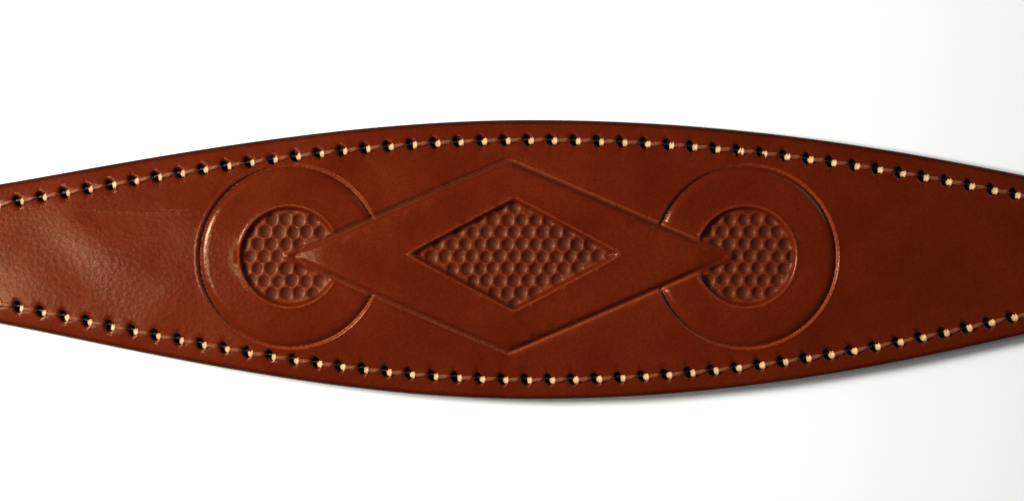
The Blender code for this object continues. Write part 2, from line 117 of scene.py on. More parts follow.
def linear(code: str) -> tuple[float, float, float, float]:
    """Turn an sRGB hex colour into linear RGBA.

    Args:
        code: Colour such as "#6b2a14".

    Returns:
        Linear red, green, blue and an alpha of 1.
    """
    parts = [int(code[i:i + 2], 16) / 255.0 for i in (1, 3, 5)]
    red, green, blue = (c / 12.92 if c <= 0.04045 else ((c + 0.055) / 1.055) ** 2.4 for c in parts)
    return red, green, blue, 1.0


def new_grid(columns: int, rows: int) -> bmesh.types.BMesh:
    """Start a piece from a flat grid whose x and y run from 0 to its columns and rows.

    Args:
        columns: Number of cells along the piece.
        rows: Number of cells round or across it.

    Returns:
        The grid as a bmesh.
    """
    bm = bmesh.new()
    bmesh.ops.create_grid(bm, x_segments=columns, y_segments=rows, size=0.5)
    bmesh.ops.translate(bm, verts=bm.verts, vec=(0.5, 0.5, 0.0))
    bmesh.ops.scale(bm, verts=bm.verts, vec=(columns, rows, 1.0))
    return bm


def grid_places(bm: bmesh.types.BMesh) -> tuple[Array, Array]:
    """Column and row of every vertex of a grid, before it is laid in place.

    Args:
        bm: The grid.

    Returns:
        Its columns and its rows.
    """
    flat = np.array([vertex.co[:2] for vertex in bm.verts])
    return flat[:, 0], flat[:, 1]


def lay_in_place(bm: bmesh.types.BMesh, places: Array) -> None:
    """Move every vertex to its place.

    Args:
        bm: Mesh whose vertices are moved.
        places: One (x, y, z) row for each vertex, in order.
    """
    for vertex, place in zip(bm.verts, places.tolist()):
        vertex.co = place


def set_layer(bm: bmesh.types.BMesh, name: str, values: Array) -> None:
    """Store one number for each vertex of a mesh that is still being built.

    Args:
        bm: The mesh.
        name: Name by which the material reads the number.
        values: One number for each vertex.
    """
    layer = bm.verts.layers.float.new(name)
    for vertex, value in zip(bm.verts, values.tolist()):
        vertex[layer] = value


def close_up(bm: bmesh.types.BMesh) -> None:
    """Weld the seam where a grid meets itself, cap its open ends and turn its faces outwards.

    Args:
        bm: The mesh, laid in place.
    """
    bmesh.ops.remove_doubles(bm, verts=bm.verts, dist=WELD)
    open_edges = [edge for edge in bm.edges if edge.is_boundary]
    if open_edges:
        bmesh.ops.holes_fill(bm, edges=open_edges, sides=0)
    bmesh.ops.triangulate(bm, faces=[face for face in bm.faces if len(face.verts) > 4])
    bmesh.ops.recalc_face_normals(bm, faces=bm.faces)


def link_mesh(name: str, bm: bmesh.types.BMesh) -> bpy.types.Object:
    """Turn a finished bmesh into a linked object.

    Args:
        name: Name of the object.
        bm: Its mesh, which is freed.

    Returns:
        The object.
    """
    mesh = bpy.data.meshes.new(name)
    bm.to_mesh(mesh)
    bm.free()
    made = bpy.data.objects.new(name, mesh)
    bpy.context.scene.collection.objects.link(made)
    return made


def finish_piece(name: str, bm: bmesh.types.BMesh, body: str, look: bpy.types.Material,
                 nodes: tuple[str, ...] = ()) -> bpy.types.Object:
    """Link a finished piece, dress it, hang it on its body and hide the CAD nodes that it stands for.

    Args:
        name: Name of the piece.
        bm: Its mesh, in place.
        body: Body that carries it.
        look: Its material.
        nodes: CAD nodes that it stands for.

    Returns:
        The linked object.
    """
    made = link_mesh(name, bm)
    made.data.shade_smooth()
    made.data.materials.append(look)
    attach(made, body)
    if nodes:
        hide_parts(*nodes)
    log.info("%s: %d faces on %s", name, len(made.data.polygons), body)
    return made


def cut_with(piece: bpy.types.Object, tools: list[bpy.types.Object]) -> None:
    """Cut a piece with some tools, keep the result and throw the tools away.

    Args:
        piece: Piece to cut.
        tools: Closed solids that are taken out of it.
    """
    for tool in tools:
        cut = piece.modifiers.new("cut", "BOOLEAN")
        cut.operation = "DIFFERENCE"
        cut.solver = "EXACT"
        cut.object = tool
    bpy.context.view_layer.update()
    result = bpy.data.meshes.new_from_object(piece.evaluated_get(bpy.context.evaluated_depsgraph_get()))
    piece.modifiers.clear()
    piece.data = result
    for tool in tools:
        bpy.data.objects.remove(tool)


def set_attribute(piece: bpy.types.Object, name: str, values: Array) -> None:
    """Store one number for each vertex, for the material to read.

    Args:
        piece: Piece that carries the numbers.
        name: Name by which the material reads them.
        values: One number for each vertex.
    """
    layer = piece.data.attributes.new(name, "FLOAT", "POINT")
    layer.data.foreach_set("value", values.astype(np.float32))


def vertex_places(piece: bpy.types.Object) -> Array:
    """Places of all vertices of a piece as rows of (x, y, z).

    Args:
        piece: The piece.

    Returns:
        One row for each vertex.
    """
    places = np.empty(len(piece.data.vertices) * 3)
    piece.data.vertices.foreach_get("co", places)
    return places.reshape(-1, 3)


# ---- the collar's pattern ------------------------------------------------------------------------

@dataclass(frozen=True)
class CollarPattern:
    """Outline and layers of the collar, as they are cut. All in metres."""

    body_half_width: float = 0.02522
    strap_half_width: float = 0.010
    left_taper: float = 0.267
    left_shoulder: float = 0.0705
    right_taper: float = 0.45
    right_shoulder: float = 0.146
    neck_blend: float = 0.0025
    bow: float = 0.00138
    bow_centre: float = 0.0053
    bow_reach: float = 0.148
    tip_length: float = 0.016
    tip_row_width: float = 0.0052
    tip_facet: float = 80.0         # the lining of the frame ends at this angle of the round tip
    outer_thick: float = 0.0026
    layer_gap: float = 0.0003
    seam_margin: float = 0.0037
    seam_corner: float = 0.0020
    box_seam_from_bar: float = 0.0095
    box_seam_past_keeper: float = 0.0085
    fold_run: float = 0.0100
    fold_clearance: float = 0.00025
    dee_radius: float = 0.0016
    dee_bump: float = 0.0080
    keeper_bump: float = 0.0045
    keeper_thick: float = 0.0014
    seam_off_bump: float = 0.0010
    turn_back_overlap: float = 0.0065
    butt_gap: float = 0.0005
    hole_pitch: float = 0.020
    hole_count: int = 5
    hole_radius: float = 0.00225
    tip_from_last_hole: float = 0.040

    @property
    def lining_thick(self) -> float:
        """Thickness of the lining and of the skived turn-back."""
        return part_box("lining_leather")[1][2]

    @property
    def flesh_level(self) -> float:
        """Height of the strap's flesh side where it lies flat."""
        return self.lining_thick + self.layer_gap

    @property
    def tip_x(self) -> float:
        """Far end of the billet."""
        missing = self.tip_length * (1.0 - math.sin(math.radians(self.tip_facet)))
        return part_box("lining_leather")[1][0] + missing

    @property
    def bar_radius(self) -> float:
        """Radius of the buckle's wire."""
        low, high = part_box("buckle_frame")
        return (high[2] - low[2]) / 2.0

    @property
    def bar_x(self) -> float:
        """Place of the heel bar along the collar."""
        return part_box("buckle_frame")[1][0] - self.bar_radius

    @property
    def bar_z(self) -> float:
        """Height of the heel bar's axis."""
        low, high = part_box("buckle_frame")
        return (high[2] + low[2]) / 2.0

    @property
    def keeper_x(self) -> float:
        """Middle of the keeper along the collar."""
        low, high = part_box("keeper_loop")
        return (low[0] + high[0]) / 2.0

    @property
    def keeper_half_width(self) -> float:
        """Half the keeper's width."""
        low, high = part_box("keeper_loop")
        return (high[0] - low[0]) / 2.0

    @property
    def dee_x(self) -> float:
        """Place of the dee's bar along the collar."""
        reach = self.keeper_half_width + self.keeper_bump
        return self.keeper_x + reach + self.seam_off_bump + self.dee_bump

    @property
    def dee_z(self) -> float:
        """Height of the dee's bar."""
        return self.flesh_level + self.dee_radius

    @property
    def edge_seam_start(self) -> float:
        """Cross row of the edge seam."""
        return self.dee_x + self.dee_bump + self.seam_off_bump

    @property
    def turn_back_end(self) -> float:
        """End of the turned-back strap."""
        return self.edge_seam_start + self.turn_back_overlap

    def centre_y(self, x: Array) -> Array:
        """Sideways place of the centre line."""
        reach = np.clip((x - self.bow_centre) / self.bow_reach, -1.0, 1.0)
        return -self.bow * (1.0 + np.cos(np.pi * reach)) / 2.0

    def body_half(self, x: Array) -> Array:
        """Half width without the rounded tip.

        Args:
            x: Places along the collar.

        Returns:
            Half width of the body and of the strap that it runs into.
        """
        slope = np.where(x < 0.0, self.left_taper, self.right_taper)
        shoulder = np.where(x < 0.0, self.left_shoulder, self.right_shoulder)
        taper = self.body_half_width - slope * (np.hypot(x, shoulder) - shoulder)
        apart = np.hypot(taper - self.strap_half_width, self.neck_blend)
        return (taper + self.strap_half_width + apart) / 2.0

    def half(self, x: Array) -> Array:
        """Half width with the rounded tip."""
        into_tip = np.clip((x - (self.tip_x - self.tip_length)) / self.tip_length, 0.0, 1.0)
        return self.body_half(x) * np.sqrt(1.0 - into_tip ** 2)

    def edge_distance(self, x: Array, y: Array) -> Array:
        """Distance from a place on the leather to its edge.

        Args:
            x: Places along the collar.
            y: Places across it.

        Returns:
            The distance, negative past the edge.
        """
        step = 1e-4
        slope = (self.half(x + step) - self.half(x - step)) / (2.0 * step)
        return (self.half(x) - np.abs(y - self.centre_y(x))) / np.hypot(1.0, slope)

    def is_tip_row(self, x: Array, y: Array) -> Array:
        """Whether a place lies on or outside the stitches that go round the tip.

        Args:
            x: Places along the collar.
            y: Places across it.

        Returns:
            Which places do.
        """
        from_start = x - (self.tip_x - self.tip_length)
        inner = self.strap_half_width - self.tip_row_width
        return (from_start > 0.0) & (np.hypot(from_start, y) > inner)

    def slope_down(self, share: Array, height: float) -> Array:
        """Smooth slope from its full height at share 0 to nothing at share 1."""
        return height * (1.0 + np.cos(np.pi * np.clip(share, 0.0, 1.0))) / 2.0

    def flesh_z(self, x: Array) -> Array:
        """Height of the strap's flesh side, over the heel bar, the keeper and the dee.

        Args:
            x: Places along the collar.

        Returns:
            The heights.
        """
        over_bar = self.bar_z + self.bar_radius + self.fold_clearance - self.flesh_level
        fold = self.slope_down((x - self.bar_x) / self.fold_run, over_bar)
        over_dee = self.dee_z + self.dee_radius + self.layer_gap - self.flesh_level
        dee = self.slope_down(np.abs(x - self.dee_x) / self.dee_bump, over_dee)
        beside = (np.abs(x - self.keeper_x) - self.keeper_half_width) / self.keeper_bump
        keeper = self.slope_down(beside, self.keeper_thick + self.layer_gap)
        return self.flesh_level + np.maximum(fold, np.maximum(dee, keeper))

    def strap_thickness(self, x: Array) -> Array:
        """Thickness of the strap, skived towards the fold."""
        run = np.clip((x - self.bar_x) / self.fold_run, 0.0, 1.0)
        return self.lining_thick + (self.outer_thick - self.lining_thick) * run

    def hole_places(self) -> list[float]:
        """Places of the billet's holes along the collar."""
        last = self.tip_x - self.tip_from_last_hole
        return [last - self.hole_pitch * i for i in range(self.hole_count)]


@dataclass
class Route:
    """Flesh side of a strip of leather as it runs, with the way out to its grain side."""

    x: Array
    z: Array
    thick: Array
    s: Array = field(init=False)
    out_x: Array = field(init=False)
    out_z: Array = field(init=False)

    def __post_init__(self) -> None:
        """Work out the length along the strip and the way out of its grain side."""
        along_x, along_z = np.gradient(self.x), np.gradient(self.z)
        length = np.hypot(along_x, along_z)
        self.out_x, self.out_z = along_z / length, -along_x / length
        steps = np.hypot(np.diff(self.x), np.diff(self.z))
        self.s = np.concatenate(([0.0], np.cumsum(steps)))

    def read(self, values: Array, s: Array) -> Array:
        """Value of one of the route's rows at some lengths along it."""
        return np.interp(s, self.s, values)

    def face(self, s: Array, out: Array) -> tuple[Array, Array]:
        """Places at some lengths along the route, each at its distance out from the flesh side."""
        along = self.read(self.x, s) + self.read(self.out_x, s) * out
        return along, self.read(self.z, s) + self.read(self.out_z, s) * out


def strap_route(pattern: CollarPattern) -> Route:
    """Route of the strap from its tip, over the fold and back to the turn-back's end.

    Args:
        pattern: The collar's pattern.

    Returns:
        The route.
    """
    upper = np.arange(pattern.tip_x, pattern.bar_x, -ROUTE_STEP)
    angles = np.radians(np.arange(90.0, 270.1, 5.0))
    inner = pattern.bar_radius + pattern.fold_clearance
    lower = np.arange(pattern.bar_x + ROUTE_STEP, pattern.turn_back_end, ROUTE_STEP)
    x = np.concatenate((upper, pattern.bar_x + inner * np.cos(angles), lower))
    z = np.concatenate((pattern.flesh_z(upper), pattern.bar_z + inner * np.sin(angles),
                        np.full(len(lower), pattern.lining_thick)))
    folded = np.full(len(angles) + len(lower), pattern.lining_thick)
    thick = np.concatenate((pattern.strap_thickness(upper), folded))
    return Route(x, z, thick)


def lining_route(pattern: CollarPattern) -> Route:
    """Route of the lining, which faces down, from the butt joint to the tip.

    Args:
        pattern: The collar's pattern.

    Returns:
        The route.
    """
    x = np.arange(pattern.turn_back_end + pattern.butt_gap, pattern.tip_x + WELD, ROUTE_STEP)
    flat = np.full(len(x), pattern.lining_thick)
    return Route(x, flat, flat.copy())


# ---- stitching -----------------------------------------------------------------------------------

@dataclass
class SeamLine:
    """Closed row of stitches, a fixed margin inside the edge."""

    pattern: CollarPattern
    start_x: float
    end_x: float
    stitch: float = 0.00422         # six stitches to the inch
    points: Array = field(init=False)
    s: Array = field(init=False)
    count: int = field(init=False)
    tree: KDTree = field(init=False)

    def __post_init__(self) -> None:
        """Lay out the line, number its stitches and index its points."""
        self.points = self.lay_out()
        closed = np.vstack((self.points, self.points[:1]))
        steps = np.hypot(*np.diff(closed, axis=0).T)
        self.s = np.concatenate(([0.0], np.cumsum(steps)))
        self.count = round(self.s[-1] / self.stitch)
        self.tree = KDTree(len(self.points))
        for i, (x, y) in enumerate(self.points):
            self.tree.insert((x, y, 0.0), i)
        self.tree.balance()

    @property
    def length(self) -> float:
        """Length of the whole row."""
        return self.s[-1]

    @property
    def pitch(self) -> float:
        """Length of one stitch, so that a whole number goes round."""
        return self.length / self.count

    def lay_out(self) -> Array:
        """Closed line of (x, y) points about a tenth of a millimetre apart.

        Returns:
            The line, without its first point again at the end.
        """
        p, step = self.pattern, 0.0001
        tip_start = p.tip_x - p.tip_length
        stop = min(self.end_x - p.seam_corner, tip_start)
        x = np.arange(self.start_x + p.seam_corner, stop, step)
        slope = (p.body_half(x + step) - p.body_half(x - step)) / (2.0 * step)
        across = p.body_half(x) - p.seam_margin * np.hypot(1.0, slope)
        turn = np.radians(np.arange(0.0, 90.0, 2.5))
        low = across[0] - p.seam_corner
        start = np.column_stack((self.start_x + p.seam_corner * (1.0 - np.cos(turn)),
                                 low + p.seam_corner * np.sin(turn)))
        rise = np.arange(0.0, low, step)
        cross = np.column_stack((np.full(len(rise), self.start_x), rise))
        if self.end_x < tip_start:
            high = across[-1] - p.seam_corner
            end = np.column_stack((stop + p.seam_corner * np.sin(turn),
                                   high + p.seam_corner * np.cos(turn)))
            fall = np.arange(high, 0.0, -step)
            end = np.vstack((end, np.column_stack((np.full(len(fall), self.end_x), fall))))
        else:
            fine = np.radians(np.arange(0.0, 90.0, 0.6))
            reach = p.tip_length - p.seam_margin
            end = np.column_stack((stop + reach * np.sin(fine), across[-1] * np.cos(fine)))
        upper = np.vstack((cross, start, np.column_stack((x, across)), end))
        lower = upper[:0:-1] * (1.0, -1.0)
        line = np.vstack((upper, lower))
        line[:, 1] += p.centre_y(line[:, 0])
        return line

    def at(self, s: Array) -> tuple[Array, Array, Array, Array]:
        """Places and directions at some lengths along the row.

        Args:
            s: Lengths from the row's start.

        Returns:
            x, y and the direction's x and y.
        """
        closed = np.vstack((self.points, self.points[:1]))
        s, step = np.mod(s, self.length), 2e-4
        (x, ahead_x, behind_x), (y, ahead_y, behind_y) = (
            [np.interp(np.mod(s + shift, self.length), self.s, row) for shift in (0.0, step, -step)]
            for row in closed.T)
        along_x, along_y = ahead_x - behind_x, ahead_y - behind_y
        size = np.hypot(along_x, along_y)
        return x, y, along_x / size, along_y / size

    def phase(self, s: Array) -> tuple[Array, Array]:
        """Place within each stitch, always counted towards the tip of the collar.

        Args:
            s: Lengths from the row's start.

        Returns:
            Share of the stitch, and 1 where the row runs towards the tip or -1 where it runs back.
        """
        whole = np.floor(s / self.pitch + 1e-6)
        share = np.clip(s / self.pitch - whole, 0.0, 1.0)
        along_x = self.at((whole + 0.5) * self.pitch)[2]
        forward = np.where(along_x < -0.01, -1.0, 1.0)
        return np.where(forward > 0.0, share, 1.0 - share), forward

    def near(self, x: Array, y: Array, reach: float) -> tuple[Array, Array, Array]:
        """Where places on the leather lie against the row.

        Args:
            x: Places along the collar.
            y: Places across it.
            reach: Distance past which a place is left out.

        Returns:
            Which places are in reach, and their lengths along and distances across the row.
        """
        chosen = np.flatnonzero((x > self.start_x - reach) & (x < self.end_x + reach))
        found, along, across = [], [], []
        for i in chosen.tolist():
            _, index, distance = self.tree.find((x[i], y[i], 0.0))
            if distance < reach:
                found.append(i)
                along.append(index)
        found, index = np.array(found, int), np.array(along, int)
        px, py, tx, ty = self.at(self.s[index])
        dx, dy = x[found] - px, y[found] - py
        return found, self.s[index] + dx * tx + dy * ty, dy * tx - dx * ty


@dataclass(frozen=True)
class StitchPress:
    """How the stitches and the awl mark the leather. All in metres."""

    valley_depth: float = 0.00016   # leather drawn down along the thread
    valley_width: float = 0.00085
    hole_depth: float = 0.0019
    hole_half_length: float = 0.00068
    hole_half_width: float = 0.00094
    hole_slant: float = 0.22        # the awl's blade leans against the row
    hole_shift: float = 0.08        # the thread leaves its hole on the side towards the tip
    hole_wall: tuple[float, float] = (0.70, 1.20)   # shares of the hole's size between which it rises
    painted_hole_shade: tuple[float, float] = (1.0, 1.3)      # and between which its near-black painted shade ends
    valley_swell: float = 0.35      # share of the valley's depth that comes and goes with each stitch
    reach: float = 0.003

    def marks(self, seam: SeamLine, x: Array, y: Array) -> tuple[Array, Array]:
        """Depth of the stitch marks and how far inside an awl hole each place is, for the hole's painted
        shade.

        Args:
            seam: Row of stitches.
            x: Places along the collar.
            y: Places across it.

        Returns:
            Height change, and a share that is 1 in a hole, where the material paints near-black shade.
        """
        height, inside = np.zeros(len(x)), np.zeros(len(x))
        found, s, across = seam.near(x, y, self.reach)
        phase, forward = seam.phase(s)
        offset = np.where(phase < 0.5, phase, phase - 1.0) + self.hole_shift
        along = offset * seam.pitch + self.hole_slant * across * forward
        hole = np.hypot(along / self.hole_half_length, across / self.hole_half_width)
        share = 1.0 - ramp(hole, *self.hole_wall)
        swell = 1.0 - self.valley_swell + self.valley_swell * np.cos(2.0 * np.pi * phase)
        valley = hill(across, self.valley_width) * swell
        height[found] = -self.valley_depth * valley - self.hole_depth * share
        # share for the near-black painted shade inside the awl hole
        inside[found] = 1.0 - ramp(hole, *self.painted_hole_shade)
        return height, inside


BOBBIN_PRESS = StitchPress(valley_depth=0.00085, valley_width=0.0008, hole_depth=0.0)


@dataclass
class ThreadRun:
    """Waxed thread that arches from hole to hole along a row."""

    seam: SeamLine
    radius: float = 0.00041
    spread: float = 0.00044         # the thread is flattened wider where it fills the slit
    rings: int = 18                 # for each stitch
    sides: int = 10
    plies: int = 3
    lay: float = 0.0016             # length of one full twist of the thread
    dive: float = 0.0013            # how deep it goes into a hole
    slant: float = 0.00022          # it leaves a hole on one side and enters the next on the other
    rise: tuple[float, float] = (0.08, 0.15)    # shares of a stitch between which it comes up
    sink: tuple[float, float] = (0.56, 0.80)    # and between which it goes down again
    # shares of a stitch where its cream start, partly a painted highlight, turns tan, and where painted
    # shade comes in as it sinks into the next hole
    clean_highlight_span: tuple[float, float] = (0.12, 0.27)
    hole_shade_span: tuple[float, float] = (0.55, 0.75)
    ply_relief: float = 0.10
    slit_lead: float = 0.02         # the widest place comes this share of a stitch before it is up
    slit_length: float = 0.055
    top_start: float = 0.30         # height over the leather, in radii, where a stitch starts
    top_fall: float = 0.60          # and how much of it is lost along the stitch

    def build(self, bed: Callable[[Array], Array], side: float) -> bmesh.types.BMesh:
        """Sweep the twisted thread round the whole row.

        Args:
            bed: Height of the leather under the thread, at a place along the collar.
            side: 1 on the grain side, -1 underneath.

        Returns:
            The thread as a closed mesh.
        """
        bm = new_grid(self.seam.count * self.rings, self.sides)
        column, row = grid_places(bm)
        s = column / self.rings * self.seam.pitch
        phase, forward = self.seam.phase(s)
        x, y, along_x, along_y = self.seam.at(s)
        across = forward * self.slant * (2.0 * phase - 1.0)
        x, y = x - along_y * across, y + along_x * across
        turn = -2.0 * np.pi * row / self.sides
        twist = 2.0 * np.pi * round(self.seam.length / self.lay) * s / self.seam.length
        radius = self.radius * (1.0 + self.ply_relief * np.cos(self.plies * turn + twist))
        filled = hill(phase - self.rise[1] + self.slit_lead, self.slit_length)
        wide = (radius + self.spread * filled) * np.cos(turn)
        out = radius * np.sin(turn)
        tilt = self.tilt(phase) * forward * side
        lean = out * np.sin(tilt)
        lay_in_place(bm, np.column_stack((x - along_y * wide - along_x * lean,
                                          y + along_x * wide - along_y * lean,
                                          bed(x) + side * self.arch(phase) + np.cos(tilt) * out)))
        # the stain share runs from the cream start, partly a painted highlight, through tan to painted
        # shade where the thread sinks into the next hole
        set_layer(bm, "stain", ramp(phase, *self.clean_highlight_span) + ramp(phase, *self.hole_shade_span))
        close_up(bm)
        return bm

    def arch(self, phase: Array) -> Array:
        """Height of the thread's axis over the leather.

        Args:
            phase: Share of a stitch.

        Returns:
            The height, negative inside a hole.
        """
        up = ramp(phase, *self.rise) * (1.0 - ramp(phase, *self.sink))
        top = self.radius * (self.top_start - self.top_fall * phase)
        return top - (self.dive + top) * (1.0 - up)

    def tilt(self, phase: Array) -> Array:
        """Slope of the thread's axis towards the tip of the collar.

        Args:
            phase: Share of a stitch.

        Returns:
            The angle in radians.
        """
        step = 0.01
        ahead, behind = np.minimum(phase + step, 1.0), np.maximum(phase - step, 0.0)
        rise = self.arch(ahead) - self.arch(behind)
        return np.arctan(rise / ((ahead - behind) * self.seam.pitch))


# ---- tooling -------------------------------------------------------------------------------------

def diamond_distance(across: Array, up: Array, half_length: float, half_height: float) -> Array:
    """Distance outside a diamond's sides, negative inside it; its corners are a little rounded.

    Args:
        across: Places along the collar from the diamond's middle.
        up: Places across it.
        half_length: Half the diamond's length.
        half_height: Half its height.

    Returns:
        The distance.
    """
    size = math.hypot(1.0 / half_length, 1.0 / half_height)
    soft = 0.0004
    far = np.hypot(across, soft) / half_length + np.hypot(up, soft) / half_height
    return (far - 1.0) / size


@dataclass(frozen=True)
class Motif:
    """Carved and stamped motif: a ringed disc on each side, joined by a double diamond."""

    pattern: CollarPattern
    middle_x: float = -0.0038
    raised: float = 0.0006          # above the centre line
    left_spacing: float = 0.0404
    right_spacing: float = 0.0417
    ring_inner: float = 0.0091
    ring_outer: float = 0.0163
    diamond_half_length: float = 0.0400
    diamond_half_height: float = 0.0172
    diamond_shift: float = -0.0009
    inner_half_length: float = 0.0195
    inner_half_height: float = 0.0103
    inner_raised: float = 0.0004
    field_depth: float = 0.00075
    wall: float = 0.00090
    ring_groove: float = 0.00100
    ring_soft: float = 0.0017       # how far the ring's rounded edge reaches in
    diamond_groove: float = 0.00095
    diamond_soft: float = 0.0010
    diamond_bevel: float = 0.0035
    feather: float = 0.0006         # width over which a cut ends
    tip_fade: float = 0.0070        # the diamond's tips sink into the discs
    dimple_pitch: float = 0.0025
    dimple_row: float = 0.0022
    dimple_radius: float = 0.00118
    dimple_depth: float = 0.00046
    dimple_shape: tuple[float, float] = (0.92, 1.04)    # the stamp is a little taller than wide
    uneven_place: float = 0.07
    uneven_size: float = 0.08
    uneven_blow: float = 0.15
    burr_height: float = 0.00020    # leather pushed up beside the knife's cut
    burr_width: float = 0.00032

    def local(self, x: Array, y: Array) -> tuple[Array, Array]:
        """Places measured from the motif's middle."""
        middle_y = float(self.pattern.centre_y(np.float64(self.middle_x))) + self.raised
        return x - self.middle_x, y - middle_y

    def ring_distance(self, across: Array, up: Array) -> Array:
        """Distance from the nearer ring's centre."""
        centre = np.where(across < 0.0, -self.left_spacing, self.right_spacing)
        return np.hypot(across - centre, up)

    def outside_diamond(self, across: Array, up: Array) -> Array:
        """Distance outside the big diamond."""
        return diamond_distance(across - self.diamond_shift, up,
                                self.diamond_half_length, self.diamond_half_height)

    def outside_inner(self, across: Array, up: Array) -> Array:
        """Distance outside the sunken inner diamond."""
        return diamond_distance(across, up - self.inner_raised,
                                self.inner_half_length, self.inner_half_height)

    def fields(self, across: Array, up: Array) -> Array:
        """Share of the sunken fields, 1 on their floors.

        Args:
            across: Places along the collar from the motif's middle.
            up: Places across it.

        Returns:
            The share.
        """
        disc = 1.0 - ramp(self.ring_distance(across, up) - self.ring_inner, -self.wall, 0.0)
        disc = disc * ramp(self.outside_diamond(across, up), 0.0, self.wall)
        inner = 1.0 - ramp(self.outside_inner(across, up), -self.wall, 0.0)
        return np.maximum(disc, inner)

    def dimples(self, across: Array, up: Array) -> Array:
        """Share of the stamped bowls, 1 in their middles.

        Args:
            across: Places along the collar from the motif's middle.
            up: Places across it.

        Returns:
            The share.
        """
        row = np.round(up / self.dimple_row)
        shift = 0.5 * np.mod(row, 2.0)
        column = np.round(across / self.dimple_pitch - shift)
        middle_x = (column + shift + self.uneven_place * scatter(column, row, 1.0)) * self.dimple_pitch
        middle_y = (row + self.uneven_place * scatter(column, row, 2.0)) * self.dimple_row
        inside = self.fields(middle_x, middle_y)
        radius = self.dimple_radius * (1.0 + self.uneven_size * scatter(column, row, 3.0))
        wide, tall = self.dimple_shape
        reach = np.hypot((across - middle_x) / wide, (up - middle_y) / tall) / radius
        bowl = 1.0 - np.clip(reach, 0.0, 1.0) ** 2
        return bowl * inside * (1.0 + self.uneven_blow * scatter(column, row, 4.0))

    def relief(self, x: Array, y: Array) -> tuple[Array, Array, Array]:
        """Height change of the tooled leather, where dye settles with painted shade and where it is rubbed
        off with a painted highlight.

        Args:
            x: Places along the collar.
            y: Places across it.

        Returns:
            Height change, a share for settled dye and painted shade in low places and one for rubbed ridges
            with a painted highlight.
        """
        across, up = self.local(x, y)
        diamond = self.outside_diamond(across, up)
        ring = self.ring_distance(across, up) - self.ring_outer
        free = ramp(diamond, 0.0, self.feather)
        ring_cut = rounded(-ring, self.ring_soft) / self.ring_soft
        ring_cut = ring_cut * (1.0 - ramp(ring, -0.0001, self.feather)) * free
        outer_wall = 0.85 * ramp(diamond, 0.0002, 0.0011) + 0.15 * ramp(diamond, 0.0, self.diamond_bevel)
        diamond_cut = ramp(diamond, -self.diamond_soft, 0.0002) ** 1.5 * (1.0 - outer_wall)
        reach = np.abs(across - self.diamond_shift) - self.diamond_half_length
        cut_deep = 1.0 - ramp(reach, -1.2 * self.tip_fade, -0.2 * self.tip_fade)
        diamond_cut = diamond_cut * (0.2 + 0.8 * cut_deep)
        field = self.fields(across, up)
        bowl = self.dimples(across, up) * field
        sinking = ramp(reach, -self.tip_fade, 0.0) * (1.0 - ramp(diamond, -0.0002, self.feather))
        sinking = sinking * (1.0 - field)
        height = -self.ring_groove * ring_cut - self.diamond_groove * diamond_cut
        height = height * (1.0 - field) - self.field_depth * field - self.dimple_depth * bowl
        height = height - 0.8 * self.field_depth * sinking
        ring_burr = hill(ring - 0.0003, self.burr_width) * free
        diamond_burr = hill(diamond - 0.0005, self.burr_width) * cut_deep
        burr = np.maximum(ring_burr, diamond_burr) * (1.0 - field) * (1.0 - sinking)
        disc_rim = hill(ring + self.ring_outer - self.ring_inner - 0.0001, self.burr_width) * free
        inner_rim = hill(self.outside_inner(across, up) - 0.0001, self.burr_width)
        burr = np.maximum(burr, 0.8 * np.maximum(disc_rim, inner_rim))
        height = height + self.burr_height * burr
        # this share lightens the knife's burrs and the ridges between the bowls: rubbed dye and a painted
        # highlight
        worn = np.maximum(burr, 0.62 * field * (1.0 - ramp(bowl, 0.0, 0.60)))
        # the share below darkens the fields, the bowls and the deepest cuts: settled dye and painted shade
        # in the recesses
        cut = 0.8 * np.maximum(ring_cut, diamond_cut) ** 3
        return height, np.maximum(field * (0.40 + 0.60 * bowl), cut), worn

    def is_busy(self, x: Array, y: Array) -> Array:
        """Whether a place is close enough to the tooling to need a finer mesh.

        Args:
            x: Places along the collar.
            y: Places across it.

        Returns:
            Which places are.
        """
        across, up = self.local(x, y)
        diamond = self.outside_diamond(across, up)
        ring = self.ring_distance(across, up)
        near_ring = (np.abs(ring - self.ring_outer + 0.0002) < 0.0017) & (diamond > -0.0008)
        in_disc = ring < self.ring_inner + 0.0007
        near_diamond = np.abs(diamond - 0.0003) < 0.0013
        return near_ring | in_disc | near_diamond | (self.outside_inner(across, up) < 0.0006)


# ---- leather strips ------------------------------------------------------------------------------

@dataclass
class RowPlan:
    """Rows round a strip of leather: top from one edge to the other, wall, underside, wall."""

    insets: tuple[float, ...]       # distances from the edge, finest first
    middle_rows: int
    wall_levels: tuple[float, ...] = (0.62, 0.30, 0.0)
    under_rows: int = 6
    edge: Array = field(init=False)     # how much of the half width a row's place takes
    inset: Array = field(init=False)    # distance that is then taken off it
    level: Array = field(init=False)    # 1 on the grain face, 0 on the flesh side

    def __post_init__(self) -> None:
        """Lay out the rows round the strip."""
        deep = self.insets[-1]
        shares = np.linspace(1.0, -1.0, self.middle_rows + 1)[1:-1]
        one_side = [(1.0, -inset) for inset in self.insets]
        middle = [(share, -share * deep) for share in shares]
        top = one_side + middle + [(-edge, -inset) for edge, inset in reversed(one_side)]
        rows = [(edge, inset, 1.0) for edge, inset in top]
        rows += [(-1.0, 0.0, level) for level in self.wall_levels]
        under = np.linspace(-1.0, 1.0, self.under_rows + 1)[1:-1]
        rows += [(share, 0.0, 0.0) for share in under]
        rows += [(1.0, 0.0, level) for level in reversed(self.wall_levels)]
        rows.append(rows[0])
        self.edge, self.inset, self.level = (np.array(part) for part in zip(*rows))

    @property
    def count(self) -> int:
        """Number of cells round the strip."""
        return len(self.edge) - 1


@dataclass
class Spot:
    """Where the vertices of a strip lie before its relief is added."""

    s: Array                        # length along the strip
    x: Array                        # place of the flesh side under each vertex
    y: Array
    level: Array


